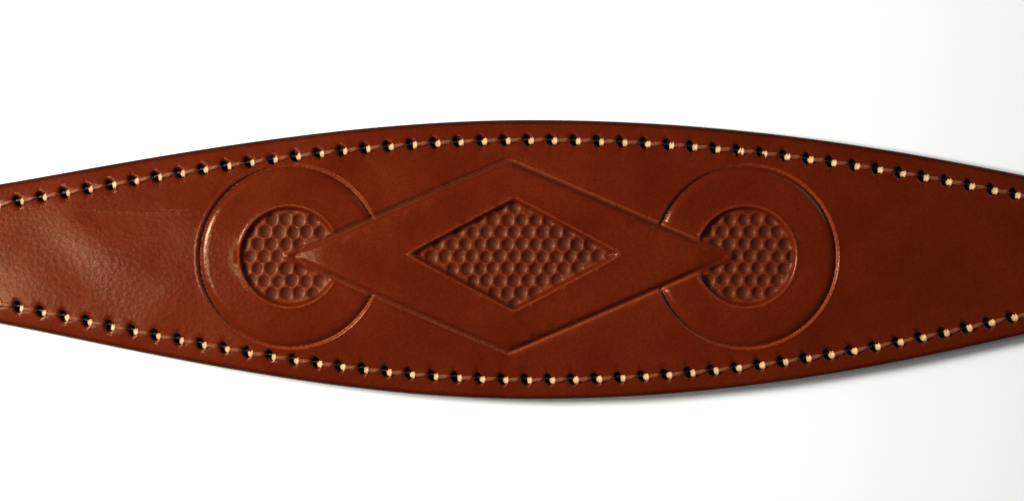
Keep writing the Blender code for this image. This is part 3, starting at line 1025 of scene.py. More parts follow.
@dataclass
class StripGrid:
    """Fine grid that is wrapped round a strip of leather."""

    route: Route
    stations: Array
    rows: RowPlan
    pattern: CollarPattern

    def start(self) -> bmesh.types.BMesh:
        """Flat grid of the strip."""
        return new_grid(len(self.stations) - 1, self.rows.count)

    def spots(self, column: Array, row: Array) -> Spot:
        """Places on the strip of some columns and rows.

        Args:
            column: Columns, which may lie between two stations.
            row: Rows, which may lie between two of the plan's.

        Returns:
            The places.
        """
        s = np.interp(column, np.arange(len(self.stations)), self.stations)
        order = np.arange(self.rows.count + 1)
        x = np.maximum(self.route.read(self.route.x, s), self.pattern.bar_x)
        half = self.pattern.half(x)
        scale = np.minimum(1.0, half / self.pattern.strap_half_width)
        y = np.interp(row, order, self.rows.edge) * half + np.interp(row, order, self.rows.inset) * scale
        return Spot(s, x, y + self.pattern.centre_y(x), np.interp(row, order, self.rows.level))

    def refine(self, bm: bmesh.types.BMesh, is_busy: Callable[[Spot], Array], cuts: int) -> None:
        """Cut the cells that lie in a busy place into finer ones.

        Args:
            bm: Flat grid.
            is_busy: Says of a Spot which of its places are busy.
            cuts: Number of cuts along each side of a cell.
        """
        faces = list(bm.faces)
        middles = np.array([face.calc_center_median()[:2] for face in faces])
        chosen = is_busy(self.spots(middles[:, 0], middles[:, 1]))
        edges = {edge for face, busy in zip(faces, chosen.tolist()) if busy for edge in face.edges}
        bmesh.ops.subdivide_edges(bm, edges=list(edges), cuts=cuts, use_grid_fill=True)

    def wrap(self, bm: bmesh.types.BMesh, spot: Spot, out: Array) -> Array:
        """Lay the grid round the strip.

        Args:
            bm: Grid.
            spot: Where its vertices lie along and across the strip.
            out: How far out from the flesh side each vertex lies.

        Returns:
            Places of the vertices, before the ones that meet are welded.
        """
        along, up = self.route.face(spot.s, out)
        places = np.column_stack((along, spot.y, up))
        lay_in_place(bm, places)
        close_up(bm)
        return places


@dataclass
class Strap:
    """Tooled strap in one piece: billet, wide body, fold round the buckle and turn-back."""

    pattern: CollarPattern
    motif: Motif
    seams: tuple[SeamLine, ...]
    press: StitchPress = StitchPress()
    bobbin_press: StitchPress = BOBBIN_PRESS
    insets: tuple[float, ...] = (0.0, 0.00006, 0.0002, 0.00045, 0.0008, 0.0013, 0.0019, 0.0025, 0.0037,
                                 0.0049)
    middle_rows: int = 26
    column: float = 0.0012
    bend_column: float = 0.0006
    edge_radius: float = 0.0009
    margin_fall: float = 0.00045    # leather outside the stitches is compressed towards the edge
    crown: float = 0.0010
    crown_start: float = 0.0036
    crown_end: float = 0.0150
    pad_half_length: float = 0.078
    pad_fade: tuple[float, float] = (0.45, 1.25)
    pad_margin: float = 0.0075
    punch_dish: float = 0.0004      # the punch draws the leather down round a hole
    punch_dish_width: float = 0.0011
    waviness: float = 0.00004
    pocket_room: float = 0.0013
    slot_half_width: float = 0.0023
    slot_reach: float = 0.0090
    stitch_reach: float = 0.0012    # how far from a row the leather is marked
    detail_half_length: float = 0.100

    def stations(self, route: Route) -> Array:
        """Lengths along the strap at which its grid has a column.

        Args:
            route: The strap's route.

        Returns:
            The lengths, in order.
        """
        p = self.pattern
        tip = p.tip_length * (1.0 - np.cos(np.radians(np.arange(0.0, 90.0, 6.0))))
        bends = p.tip_x - p.edge_seam_start
        straight = np.arange(p.tip_length, bends, self.column)
        folded = np.arange(bends, route.s[-1], self.bend_column)
        return np.concatenate((tip, straight, folded, route.s[-1:]))

    def has_tooling(self, spot: Spot) -> Array:
        """Whether a place lies in the carved and stamped motif."""
        return self.motif.is_busy(spot.x, spot.y) & (spot.level > NEAR_FACE)

    def has_stitches(self, spot: Spot) -> Array:
        """Whether a place lies along a row of stitches.

        Args:
            spot: Places on the strap.

        Returns:
            Which places do.
        """
        p, reach = self.pattern, self.stitch_reach
        inset = p.edge_distance(spot.x, spot.y)
        stitched = np.zeros(len(spot.x), bool)
        for seam in self.seams:
            inside = (spot.x > seam.start_x - reach) & (spot.x < seam.end_x + reach)
            stitched |= inside & (np.abs(inset - p.seam_margin) < reach)
            for cross in (seam.start_x, seam.end_x):
                stitched |= (np.abs(spot.x - cross) < reach) & (inset > p.seam_margin - reach)
        stitched |= p.is_tip_row(spot.x, spot.y)
        return stitched & (spot.level > NEAR_FACE)

    def has_body_stitches(self, spot: Spot) -> Array:
        """Whether a place lies along the stitches of the wide body."""
        return self.has_stitches(spot) & (np.abs(spot.x) < self.detail_half_length)

    def has_end_stitches(self, spot: Spot) -> Array:
        """Whether a place lies along the stitches of the narrow ends."""
        return self.has_stitches(spot) & (np.abs(spot.x) >= self.detail_half_length)

    def fade(self, x: Array) -> Array:
        """How much of the padding's height is left towards the ends of the wide body."""
        start, end = self.pad_fade
        return 1.0 - ramp(np.abs(x), start * self.pad_half_length, end * self.pad_half_length)

    def face_height(self, spot: Spot, upper: Array) -> tuple[Array, dict[str, Array]]:
        """Relief of the grain face.

        Args:
            spot: Places on the strap.
            upper: 1 on the upper run of the strap, 0 on the turn-back.

        Returns:
            Height change, and the shares of low places (settled dye and painted shade), rubbed ridges (wear
            and painted highlight) and awl holes (painted shade).
        """
        p, x, y = self.pattern, spot.x, spot.y
        inset = p.edge_distance(x, y)
        height = -rounded(inset, self.edge_radius)
        height -= self.margin_fall * (1.0 - ramp(inset, 0.0, p.seam_margin)) * upper
        height += self.crown * self.fade(x) * ramp(inset, self.crown_start, self.crown_end) * upper
        wave = np.sin(x * 310.0 + 2.0 * np.sin(y * 170.0)) + np.sin(y * 420.0 + 1.7 * np.sin(x * 230.0))
        height += self.waviness * wave * upper
        tooling, low, worn = self.motif.relief(x, y)
        height += tooling * upper
        hole = np.zeros(len(x))
        for seam in self.seams:
            marks, inside = self.press.marks(seam, x, y)
            height += marks * upper
            hole = np.maximum(hole, inside * upper)
            height += self.bobbin_press.marks(seam, x, y)[0] * (1.0 - upper)
        for place in p.hole_places():
            rim = np.hypot(x - place, y - p.centre_y(np.float64(place))) - p.hole_radius
            height -= self.punch_dish * (1.0 - ramp(rim, 0.0, self.punch_dish_width)) * upper
        return height, {"low": low * upper, "worn": worn * upper, "hole": hole}

    def build(self, look: bpy.types.Material) -> bpy.types.Object:
        """Make the strap.

        Args:
            look: Its leather.

        Returns:
            The finished strap.
        """
        route = strap_route(self.pattern)
        grid = StripGrid(route, self.stations(route), RowPlan(self.insets, self.middle_rows), self.pattern)
        bm = grid.start()
        grid.refine(bm, self.has_tooling, cuts=4)
        grid.refine(bm, self.has_body_stitches, cuts=3)
        grid.refine(bm, self.has_end_stitches, cuts=2)
        spot = grid.spots(*grid_places(bm))
        past_bar = spot.s - (self.pattern.tip_x - self.pattern.bar_x)
        upper = 1.0 - ramp(past_bar, 0.001, 0.003)
        relief, shares = self.face_height(spot, upper)
        thick = route.read(route.thick, spot.s)
        inset = self.pattern.edge_distance(spot.x, spot.y)
        under_pad = ramp(inset, self.pad_margin - 0.0006, self.pad_margin)
        pocket = self.pocket_room * self.fade(spot.x) * under_pad
        top = thick + relief
        wall = (thick - self.edge_radius - self.margin_fall * upper) * spot.level
        out = np.where(spot.level > GRAIN_FACE, top, np.where(spot.level > 0.0, wall, pocket * upper))
        places = grid.wrap(bm, spot, out)
        strap = finish_piece("bridle_strap", bm, "strap", look, ("outer_leather",))
        cut_with(strap, [self.slot_tool()] + hole_tools(self.pattern))
        self.dress(strap, places, shares)
        return strap

    def dress(self, strap: bpy.types.Object, places: Array, shares: dict[str, Array]) -> None:
        """Store where dye settles with painted shade and where it is rubbed off with a painted highlight,
        for the leather's material.

        Args:
            strap: The finished strap.
            places: Places of the vertices that the shares belong to.
            shares: Shares to store, by name.
        """
        tree = KDTree(len(places))
        for i, place in enumerate(places):
            tree.insert(place, i)
        tree.balance()
        nearest = np.array([tree.find(place)[1] for place in vertex_places(strap)])
        for name, share in shares.items():
            set_attribute(strap, name, share[nearest])
        now = vertex_places(strap)
        set_attribute(strap, "inset", self.pattern.edge_distance(now[:, 0], now[:, 1]))

    def slot_tool(self) -> bpy.types.Object:
        """Solid that cuts the prong's slot through the fold.

        Returns:
            The solid, with rounded ends.
        """
        p = self.pattern
        bm = bmesh.new()
        bmesh.ops.create_cube(bm, size=1.0)
        length, tall = 3.0 * self.slot_reach, 0.03
        bmesh.ops.scale(bm, verts=bm.verts, vec=(length, 2.0 * self.slot_half_width, tall))
        bmesh.ops.translate(bm, verts=bm.verts, vec=(p.bar_x + self.slot_reach - length / 2.0, 0.0, 0.0))
        ends = [edge for edge in bm.edges if all(v.co.x > p.bar_x for v in edge.verts)
                and abs(edge.verts[0].co.z - edge.verts[1].co.z) > tall / 2.0]
        bmesh.ops.bevel(bm, geom=ends, offset=0.98 * self.slot_half_width, offset_type="OFFSET", segments=8,
                        profile=0.5, affect="EDGES", material=-1)
        return link_mesh("slot_tool", bm)


def hole_tools(pattern: CollarPattern) -> list[bpy.types.Object]:
    """Punches for the billet's holes.

    Args:
        pattern: The collar's pattern.

    Returns:
        One punch for each hole.
    """
    tools = []
    for place in pattern.hole_places():
        bm = bmesh.new()
        bmesh.ops.create_cone(bm, cap_ends=True, segments=40, radius1=pattern.hole_radius,
                              radius2=pattern.hole_radius, depth=0.03)
        middle_y = float(pattern.centre_y(np.float64(place)))
        bmesh.ops.translate(bm, verts=bm.verts, vec=(place + OFF_GRID, middle_y + OFF_GRID, 0.0))
        tools.append(link_mesh("punch", bm))
    return tools


@dataclass
class Lining:
    """Soft lining from the butt joint to the tip, with the bobbin threads sunk into it."""

    pattern: CollarPattern
    seams: tuple[SeamLine, ...]
    press: StitchPress = BOBBIN_PRESS
    insets: tuple[float, ...] = (0.0, 0.0001, 0.0003, 0.0006, 0.0012, 0.0025, 0.0037, 0.0049)
    middle_rows: int = 10
    wall_levels: tuple[float, ...] = (0.5, 0.0)
    column: float = 0.0012
    edge_radius: float = 0.0006
    stitch_reach: float = 0.0012

    def build(self, look: bpy.types.Material) -> bpy.types.Object:
        """Make the lining.

        Args:
            look: Its leather.

        Returns:
            The finished lining.
        """
        p = self.pattern
        route = lining_route(p)
        tip = route.s[-1] - p.tip_length * (1.0 - np.cos(np.radians(np.arange(84.0, -1.0, -6.0))))
        stations = np.concatenate((np.arange(0.0, route.s[-1] - p.tip_length, self.column), tip))
        grid = StripGrid(route, stations, RowPlan(self.insets, self.middle_rows, self.wall_levels), p)
        bm = grid.start()
        grid.refine(bm, self.is_busy, cuts=3)
        spot = grid.spots(*grid_places(bm))
        inset = p.edge_distance(spot.x, spot.y)
        relief = -rounded(inset, self.edge_radius)
        for seam in self.seams:
            relief += self.press.marks(seam, spot.x, spot.y)[0]
        wall = (p.lining_thick - self.edge_radius) * spot.level
        out = np.where(spot.level > GRAIN_FACE, p.lining_thick + relief, wall)
        grid.wrap(bm, spot, out)
        lining = finish_piece("lining", bm, "strap", look, ("lining_leather",))
        cut_with(lining, hole_tools(p))
        now = vertex_places(lining)
        set_attribute(lining, "inset", p.edge_distance(now[:, 0], now[:, 1]))
        return lining

    def is_busy(self, spot: Spot) -> Array:
        """Whether a place has stitches.

        Args:
            spot: Places on the lining.

        Returns:
            Which places do.
        """
        from_row = self.pattern.edge_distance(spot.x, spot.y) - self.pattern.seam_margin
        stitched = np.abs(from_row) < self.stitch_reach
        stitched |= self.pattern.is_tip_row(spot.x, spot.y)
        return stitched & (spot.level > NEAR_FACE)


@dataclass
class Stitching:
    """Needle and bobbin threads of the two seams."""

    pattern: CollarPattern
    seams: dict[str, SeamLine]
    needle_sink: float = 0.0001     # how far the thread beds into the grain
    bobbin_bed: float = 0.00065

    def needle_bed(self, x: Array) -> Array:
        """Height of the grain under the needle thread."""
        return self.pattern.flesh_z(x) + self.pattern.strap_thickness(x) - self.needle_sink

    def build(self, look: bpy.types.Material) -> None:
        """Make the four threads.

        Args:
            look: Their waxed thread.
        """
        for name, seam in self.seams.items():
            bobbin = ThreadRun(seam, slant=-0.0002, dive=0.0004, spread=0.0001)
            runs = {
                "needle": ThreadRun(seam).build(self.needle_bed, 1.0),
                "bobbin": bobbin.build(lambda x: np.full(len(x), self.bobbin_bed), -1.0),
            }
            for side, run in runs.items():
                piece, node = f"{name}_{side}", f"{name}_{side}_thread"
                finish_piece(piece, run, "strap", look, (node,))


# ---- keeper and metal ----------------------------------------------------------------------------

@dataclass
class Keeper:
    """Leather loop whose two ends are tucked under the strap."""

    pattern: CollarPattern
    side_clearance: float = 0.0004
    corner: float = 0.0007
    butt: float = 0.0006
    edge_radius: float = 0.00045
    crease_inset: float = 0.0011    # line pressed beside each edge with a hot creaser
    crease_depth: float = 0.00022
    crease_width: float = 0.00028
    column: float = 0.0007
    waviness: float = 0.00002
    insets: tuple[float, ...] = (0.0, 0.00008, 0.0002, 0.0004, 0.0007, 0.0009, 0.00105, 0.0012, 0.0014,
                                 0.0018, 0.0025)

    def route(self) -> Route:
        """Inner face of the loop from one tucked end to the other, as (across, up).

        Returns:
            The route.
        """
        p = self.pattern
        low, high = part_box("keeper_loop")
        half = p.strap_half_width + self.side_clearance
        floor, roof = low[2] + p.keeper_thick, high[2] - p.keeper_thick
        y, z = [np.linspace(self.butt / 2.0, half - self.corner, 30)], [np.full(30, floor)]
        corners = ((1.0, floor + self.corner, -90.0), (1.0, roof - self.corner, 0.0),
                   (-1.0, roof - self.corner, 90.0), (-1.0, floor + self.corner, 180.0))
        for side, middle_z, start in corners:
            turn = np.radians(np.linspace(start, start + 90.0, 9))
            y.append(side * (half - self.corner) + self.corner * np.cos(turn))
            z.append(middle_z + self.corner * np.sin(turn))
        y.append(np.linspace(-half + self.corner, -self.butt / 2.0, 30))
        z.append(np.full(30, floor))
        y, z = np.concatenate(y), np.concatenate(z)
        keep = np.concatenate(([True], np.hypot(np.diff(y), np.diff(z)) > WELD))
        y, z = y[keep], z[keep]
        return Route(y, z, np.full(len(y), p.keeper_thick))

    def build(self, look: bpy.types.Material) -> bpy.types.Object:
        """Make the keeper.

        Args:
            look: Its leather.

        Returns:
            The finished keeper.
        """
        p, route = self.pattern, self.route()
        half = p.keeper_half_width
        top = np.array(self.insets)
        face = np.concatenate((half - top, (0.0,), (top - half)[::-1]))
        across = np.concatenate((face, np.linspace(-half, half, 9), (half,)))
        level = np.concatenate((np.ones(len(face)), (0.5,), np.zeros(7), (0.5, 1.0)))
        stations = np.unique(np.concatenate((route.s, np.arange(0.0, route.s[-1], self.column))))
        bm = new_grid(len(stations) - 1, len(across) - 1)
        column, row = grid_places(bm)
        s, order = np.interp(column, np.arange(len(stations)), stations), np.arange(len(across))
        x, share = np.interp(row, order, across), np.interp(row, order, level)
        inset = half - np.abs(x)
        crease = self.crease_depth * hill(inset - self.crease_inset, self.crease_width)
        grain = p.keeper_thick - rounded(inset, self.edge_radius) - crease
        out = np.where(share > GRAIN_FACE, grain, (p.keeper_thick - self.edge_radius) * share)
        y, z = route.face(s, out + self.waviness * np.sin(s * 900.0))
        middle_y = float(p.centre_y(np.float64(p.keeper_x)))
        lay_in_place(bm, np.column_stack((p.keeper_x + x, middle_y + y, z)))
        set_layer(bm, "inset", inset * (share > GRAIN_FACE))
        close_up(bm)
        return finish_piece("keeper", bm, "strap", look, ("keeper_loop",))


def swept_bar(path: Array, normal: Vector, half_width: Array, half_thick: Array, sides: int,
              closed: bool) -> bmesh.types.BMesh:
    """Carry an elliptical section along a flat path.

    Args:
        path: Points of the axis, one row each.
        normal: Direction square to the plane of the path.
        half_width: Half the section's size along the normal, at each point.
        half_thick: Half its size in the plane.
        sides: Number of sides of the section.
        closed: Whether the path's ends meet.

    Returns:
        The bar as a closed mesh.
    """
    if closed:
        path = np.vstack((path, path[:1]))
        half_width = np.append(half_width, half_width[0])
        half_thick = np.append(half_thick, half_thick[0])
        along = np.gradient(np.vstack((path[-2:-1], path, path[1:2])), axis=0)[1:-1]
    else:
        along = np.gradient(path, axis=0)
    along = along / np.linalg.norm(along, axis=1)[:, None]
    up = np.array(normal)
    side = np.cross(along, up)
    bm = new_grid(len(path) - 1, sides)
    column, row = grid_places(bm)
    i, turn = column.round().astype(int), 2.0 * np.pi * row / sides
    places = path[i] + side[i] * (half_thick[i] * np.cos(turn))[:, None]
    lay_in_place(bm, places + up * (half_width[i] * np.sin(turn))[:, None])
    close_up(bm)
    return bm


def turned_ring(profile: list[tuple[float, float]], centre: Vector, steps: int) -> bmesh.types.BMesh:
    """Turn a closed (radius, along) profile about a line that runs along Y.

    Args:
        profile: Points of the section.
        centre: A point on the line.
        steps: Steps of the turn.

    Returns:
        The ring.
    """
    bm = bmesh.new()
    points = [bm.verts.new((radius, along, 0.0)) for radius, along in profile]
    edges = [bm.edges.new(pair) for pair in zip(points, points[1:] + points[:1])]
    bmesh.ops.spin(bm, geom=points + edges, cent=(0.0, 0.0, 0.0), axis=(0.0, 1.0, 0.0),
                   angle=2.0 * math.pi, steps=steps, use_merge=True)
    bmesh.ops.translate(bm, verts=bm.verts, vec=centre)
    bmesh.ops.remove_doubles(bm, verts=bm.verts, dist=WELD)
    bmesh.ops.recalc_face_normals(bm, faces=bm.faces)
    return bm


def arc(middle: tuple[float, float], radius: float, start: float, end: float, steps: int) -> Array:
    """Points (a, b) on an arc, both ends included; angles in degrees."""
    turn = np.radians(np.linspace(start, end, steps + 1))
    return np.column_stack((middle[0] + radius * np.cos(turn), middle[1] + radius * np.sin(turn)))


@dataclass
class Buckle:
    """Roller buckle: cast frame, a roller and a bent prong."""

    pattern: CollarPattern
    corner: float = 0.0030
    roller_wall: float = 0.00065
    bore_clearance: float = 0.0002
    end_clearance: float = 0.0003
    eye_wall: float = 0.0011
    eye_width: float = 0.0034
    heel_radius: float = 0.0014
    tip_radius: float = 0.0011
    rest_gap: float = 0.0002
    overhang: float = 0.0012
    shank_start: float = 0.0022     # the prong leaves its eye this far in front of the bar
    shank_rise: float = 0.00032
    shoulder: float = 0.00022

    @property
    def half(self) -> float:
        """Half the width of the frame, to the wire's axis."""
        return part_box("buckle_frame")[1][1] - self.pattern.bar_radius

    @property
    def length(self) -> float:
        """From the heel bar's axis to the front bar's."""
        low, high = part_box("buckle_frame")
        return high[0] - low[0] - 2.0 * self.pattern.bar_radius

    @property
    def heel(self) -> Vector:
        """Middle of the heel bar."""
        return Vector((self.pattern.bar_x, 0.0, self.pattern.bar_z))

    @property
    def roller_radius(self) -> float:
        """Outer radius of the roller."""
        return self.pattern.bar_radius + self.bore_clearance + self.roller_wall

    def build(self, look: bpy.types.Material) -> None:
        """Make the frame, the roller and the prong.

        Args:
            look: Their brass.
        """
        finish_piece("frame_wire", self.frame(), "frame", look, ("buckle_frame",))
        finish_piece("roller", self.roller(), "roller", look, ("buckle_roller",))
        finish_piece("prong", self.prong(), "prong", look, ("buckle_prong",))

    def frame(self) -> bmesh.types.BMesh:
        """Wire bent round with rounded corners.

        Returns:
            The frame's mesh.
        """
        c, half, length = self.corner, self.half, self.length
        one_side = np.vstack((arc((-c, half - c), c, 0.0, 90.0, 10),
                              arc((-length + c, half - c), c, 90.0, 180.0, 10)))
        straight = np.linspace(-half + c, half - c, 12)[1:-1]
        heel_bar = np.column_stack((np.zeros(len(straight)), straight))
        front_bar = np.column_stack((np.full(len(straight), -length), straight[::-1]))
        loop = np.vstack((heel_bar, one_side, front_bar, one_side[::-1] * (1.0, -1.0)))
        path = np.column_stack((loop, np.zeros(len(loop)))) + np.array(self.heel)
        radius = np.full(len(path), self.pattern.bar_radius)
        return swept_bar(path, Vector((0.0, 0.0, 1.0)), radius, radius, 28, closed=True)

    def roller(self) -> bmesh.types.BMesh:
        """Sheet-brass tube with rolled ends.

        Returns:
            The roller's mesh.
        """
        inner = self.pattern.bar_radius + self.bore_clearance
        outer, half, lip = self.roller_radius, self.half - self.corner - self.end_clearance, 0.0003
        end = arc((outer - lip, half - lip), lip, 0.0, 90.0, 4).tolist()
        profile = end + [(inner + 0.0001, half), (inner, half - 0.0001)]
        profile += [(radius, -along) for radius, along in reversed(profile)]
        return turned_ring(profile, self.heel + Vector((-self.length, 0.0, 0.0)), 48)

    def prong(self) -> bmesh.types.BMesh:
        """Tapered prong, flattened where it is bent round the heel bar.

        Returns:
            The prong's mesh.
        """
        eye = self.pattern.bar_radius + self.bore_clearance + self.eye_wall / 2.0
        wrap = arc((0.0, 0.0), eye, -200.0, 75.0, 40)
        tip = np.array((-self.length - self.overhang, self.roller_radius + self.rest_gap + self.tip_radius))
        start = np.array((-self.shank_start, eye + self.shank_rise))
        part = np.linspace(0.25, 1.0, 4)
        blend = wrap[-1] + (start - wrap[-1]) * part[:, None]
        blend[:, 1] += self.shoulder * np.sin(part * np.pi)
        shank = start + (tip - start) * np.linspace(0.1, 1.0, 16)[:, None]
        flat = np.vstack((wrap, blend, shank))
        path = np.column_stack((flat[:, 0], np.zeros(len(flat)), flat[:, 1])) + np.array(self.heel)
        order, bent = np.arange(len(flat)), len(wrap)
        share = np.clip((order - bent + 3) / 8.0, 0.0, 1.0)
        taper = np.clip((order - bent - len(blend)) / 15.0, 0.0, 1.0)
        shank_radius = self.heel_radius + (self.tip_radius - self.heel_radius) * taper
        width = self.eye_width / 2.0 + (shank_radius - self.eye_width / 2.0) * share
        thick = self.eye_wall / 2.0 + (shank_radius - self.eye_wall / 2.0) * share
        nose = np.clip((order - len(flat) + 2.2) / 1.3, 0.0, 0.98)
        end = np.sqrt(np.clip(1.0 - nose ** 2, 0.04, 1.0))
        return swept_bar(path, Vector((0.0, 1.0, 0.0)), width * end, thick * end, 20, closed=False)


@dataclass
class DeeRing:
    """Dee for the lead: its bar lies between the leathers and its bow rests on the grain side."""

    pattern: CollarPattern
    depth: float = 0.0180
    corner: float = 0.0025
    side_clearance: float = 0.00075

    def tilt(self) -> float:
        """Angle at which the bow rests on the strap's edges.

        Returns:
            The angle in radians.
        """
        low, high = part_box("dee_ring")
        rise = high[2] - self.pattern.dee_radius - self.pattern.dee_z
        return math.asin(rise / self.depth)

    def build(self, look: bpy.types.Material) -> bpy.types.Object:
        """Make the dee.

        Args:
            look: Its brass.

        Returns:
            The finished dee.
        """
        p, c = self.pattern, self.corner
        half = p.strap_half_width + self.side_clearance + p.dee_radius
        straight = np.linspace(half - c, -half + c, 12)[1:-1]
        loop = np.vstack((np.column_stack((np.zeros(len(straight)), straight)),
                          arc((c, -half + c), c, 180.0, 270.0, 8),
                          arc((self.depth - half, 0.0), half, -90.0, 90.0, 40),
                          arc((c, half - c), c, 90.0, 180.0, 8)))
        tilt = self.tilt()
        path = np.column_stack((loop[:, 0] * math.cos(tilt), loop[:, 1], loop[:, 0] * math.sin(tilt)))
        path = path + np.array((p.dee_x, 0.0, p.dee_z))
        radius = np.full(len(path), p.dee_radius)
        normal = Vector((-math.sin(tilt), 0.0, math.cos(tilt)))
        bm = swept_bar(path, normal, radius, radius, 28, closed=True)
        return finish_piece("lead_dee", bm, "dee", look, ("dee_ring",))


# ---- finishes ------------------------------------------------------------------------------------

MILLIMETRE = 0.001


def add_node(tree: bpy.types.NodeTree, kind: str, inputs: dict | None = None,
             **settings) -> bpy.types.Node:
    """Add a node with its settings and links.

    Args:
        tree: Node tree to add it to.
        kind: Type of the node.
        inputs: Value or linked socket for each input, by name or number.
        **settings: Properties of the node.

    Returns:
        The node.
    """
    node = tree.nodes.new(kind)
    for name, value in settings.items():
        setattr(node, name, value)
    for name, value in (inputs or {}).items():
        if isinstance(value, bpy.types.NodeSocket):
            tree.links.new(value, node.inputs[name])
        else:
            node.inputs[name].default_value = value
    return node


def new_material(name: str) -> tuple[bpy.types.Material, Callable, bpy.types.NodeSocket]:
    """Start an empty material.

    Args:
        name: Name of the material.

    Returns:
        The material, add_node for its tree, and its Object coordinates.
    """
    made = bpy.data.materials.new(name)
    made.use_nodes = True
    made.node_tree.nodes.clear()
    add = partial(add_node, made.node_tree)
    return made, add, add("ShaderNodeTexCoord").outputs["Object"]


def per_metre(size: float) -> float:
    """Texture scale that gives a pattern of this size in metres."""
    return 1.0 / size


class Gloss(Enum):
    """How strongly the leather was waxed and burnished: roughness and weight of the wax."""

    WAXED = (0.21, 0.035)


@dataclass(frozen=True)
class BridleLeather:
    """Vegetable-tanned bridle leather: drum-dyed chestnut, hot-stuffed with wax and burnished by hand.

    It is deep red-brown with cloudy lighter patches, a fine pebbled grain and a soft wax gloss.
    """

    name: str = "waxed_bridle_leather"
    face: str = "#541605"
    light: str = "#601d08"
    # speckle, and settled dye with painted shade in low places
    deep: str = "#3c0e03"
    burnished: str = "#1c0603"      # darker towards the cut edge
    rubbed: str = "#94421f"         # ridges lose their dye, and the lighter tan also paints highlights on them
    # near-black painted shade inside the awl holes
    hole: str = "#060201"
    sheen: str = "#ffcfa0"          # amber wax warms every reflection
    gloss: Gloss = Gloss.WAXED
    unpolished: float = 0.55        # added roughness of hollows, which the cloth misses
    grain: float = 0.45 * MILLIMETRE
    pore: float = 0.9 * MILLIMETRE
    cloud: float = 14.0 * MILLIMETRE
    scuff: float = 60.0 * MILLIMETRE

    def make(self) -> bpy.types.Material:
        """Make the material.

        Returns:
            The material.
        """
        made, add, place = new_material(self.name)
        cloud = add("ShaderNodeTexNoise", {"Vector": place, "Scale": per_metre(self.cloud),
                                           "Detail": 4.0, "Roughness": 0.6}).outputs["Fac"]
        speck = add("ShaderNodeTexNoise", {"Vector": place, "Scale": per_metre(self.grain),
                                           "Detail": 5.0, "Roughness": 0.65}).outputs["Fac"]
        pore = add("ShaderNodeTexVoronoi", {"Vector": place, "Scale": per_metre(self.pore)})
        low, worn, inset, hole = (add("ShaderNodeAttribute", attribute_name=name).outputs["Fac"]
                                  for name in ("low", "worn", "inset", "hole"))
        patches = add("ShaderNodeMapRange", {"Value": cloud, "From Min": 0.35, "From Max": 0.68})
        speckle = add("ShaderNodeMapRange", {"Value": speck, "From Min": 0.38, "From Max": 0.66,
                                             "To Max": 0.45})
        # settled dye and painted shade in the low places
        settled_dye_and_shade = add("ShaderNodeMath", {0: low, 1: 0.75}, operation="MULTIPLY")
        # rubbed dye on the ridges, which also paints their highlights
        rubbed = add("ShaderNodeMath", {0: worn, 1: speck}, operation="MULTIPLY").outputs[0]
        rubbed = add("ShaderNodeMapRange", {"Value": rubbed, "From Min": 0.22, "From Max": 0.62,
                                            "To Max": 0.75})
        edge = add("ShaderNodeMapRange", {"Value": inset, "From Min": 0.0002, "From Max": 0.0011,
                                          "To Min": 0.85, "To Max": 0.0})
        base = linear(self.face)
        for share, colour in ((patches.outputs[0], self.light), (speckle.outputs[0], self.deep),
                              (settled_dye_and_shade.outputs[0], self.deep), (rubbed.outputs[0], self.rubbed),
                              (edge.outputs[0], self.burnished), (hole, self.hole)):
            base = add("ShaderNodeMix", {0: share, 6: base, 7: linear(colour)},
                       data_type="RGBA").outputs[2]
        roughness, coat = self.gloss.value
        rough = add("ShaderNodeMapRange", {"Value": cloud, "From Min": 0.3, "From Max": 0.7,
                                           "To Min": roughness - 0.04, "To Max": roughness + 0.06})
        hollow = add("ShaderNodeMath", {0: low, 1: hole}, operation="MAXIMUM").outputs[0]
        rough = add("ShaderNodeMath", {0: hollow, 1: self.unpolished, 2: rough.outputs[0]},
                    operation="MULTIPLY_ADD", use_clamp=True)
        wax = add("ShaderNodeMath", {0: hollow, 1: -coat, 2: coat}, operation="MULTIPLY_ADD",
                  use_clamp=True)
        grain = add("ShaderNodeMath", {0: speck, 1: pore.outputs["Distance"]}, operation="ADD")
        fine = add("ShaderNodeBump", {"Height": grain.outputs[0], "Distance": 0.00004, "Strength": 0.5})
        lines = add("ShaderNodeBump", {"Height": self.scuffs(add, place), "Distance": 0.00003,
                                       "Strength": 0.4, "Normal": fine.outputs["Normal"]}, invert=True)
        shader = add("ShaderNodeBsdfPrincipled", {
            "Base Color": base, "Roughness": rough.outputs[0], "IOR": 1.5, "Specular IOR Level": 0.26,
            "Specular Tint": linear(self.sheen), "Normal": lines.outputs["Normal"],
            "Coat Weight": wax.outputs[0], "Coat Roughness": 0.17})
        add("ShaderNodeOutputMaterial", {"Surface": shader.outputs["BSDF"]})
        return made

    def scuffs(self, add: Callable, place: bpy.types.NodeSocket) -> bpy.types.NodeSocket:
        """Long faint scuffs from handling, drawn as stretched noise.

        Args:
            add: The material's add_node.
            place: Its coordinates.

        Returns:
            A share that is 1 in a scuff.
        """
        turned = add("ShaderNodeMapping", {"Vector": place, "Rotation": (0.0, 0.0, 0.5),
                                           "Scale": (1.0, 22.0, 1.0)}).outputs["Vector"]
        noise = add("ShaderNodeTexNoise", {"Vector": turned, "Scale": per_metre(self.scuff),
                                           "Detail": 8.0, "Roughness": 0.7}).outputs["Fac"]
        return add("ShaderNodeMapRange", {"Value": noise, "From Min": 0.62, "From Max": 0.70}).outputs[0]


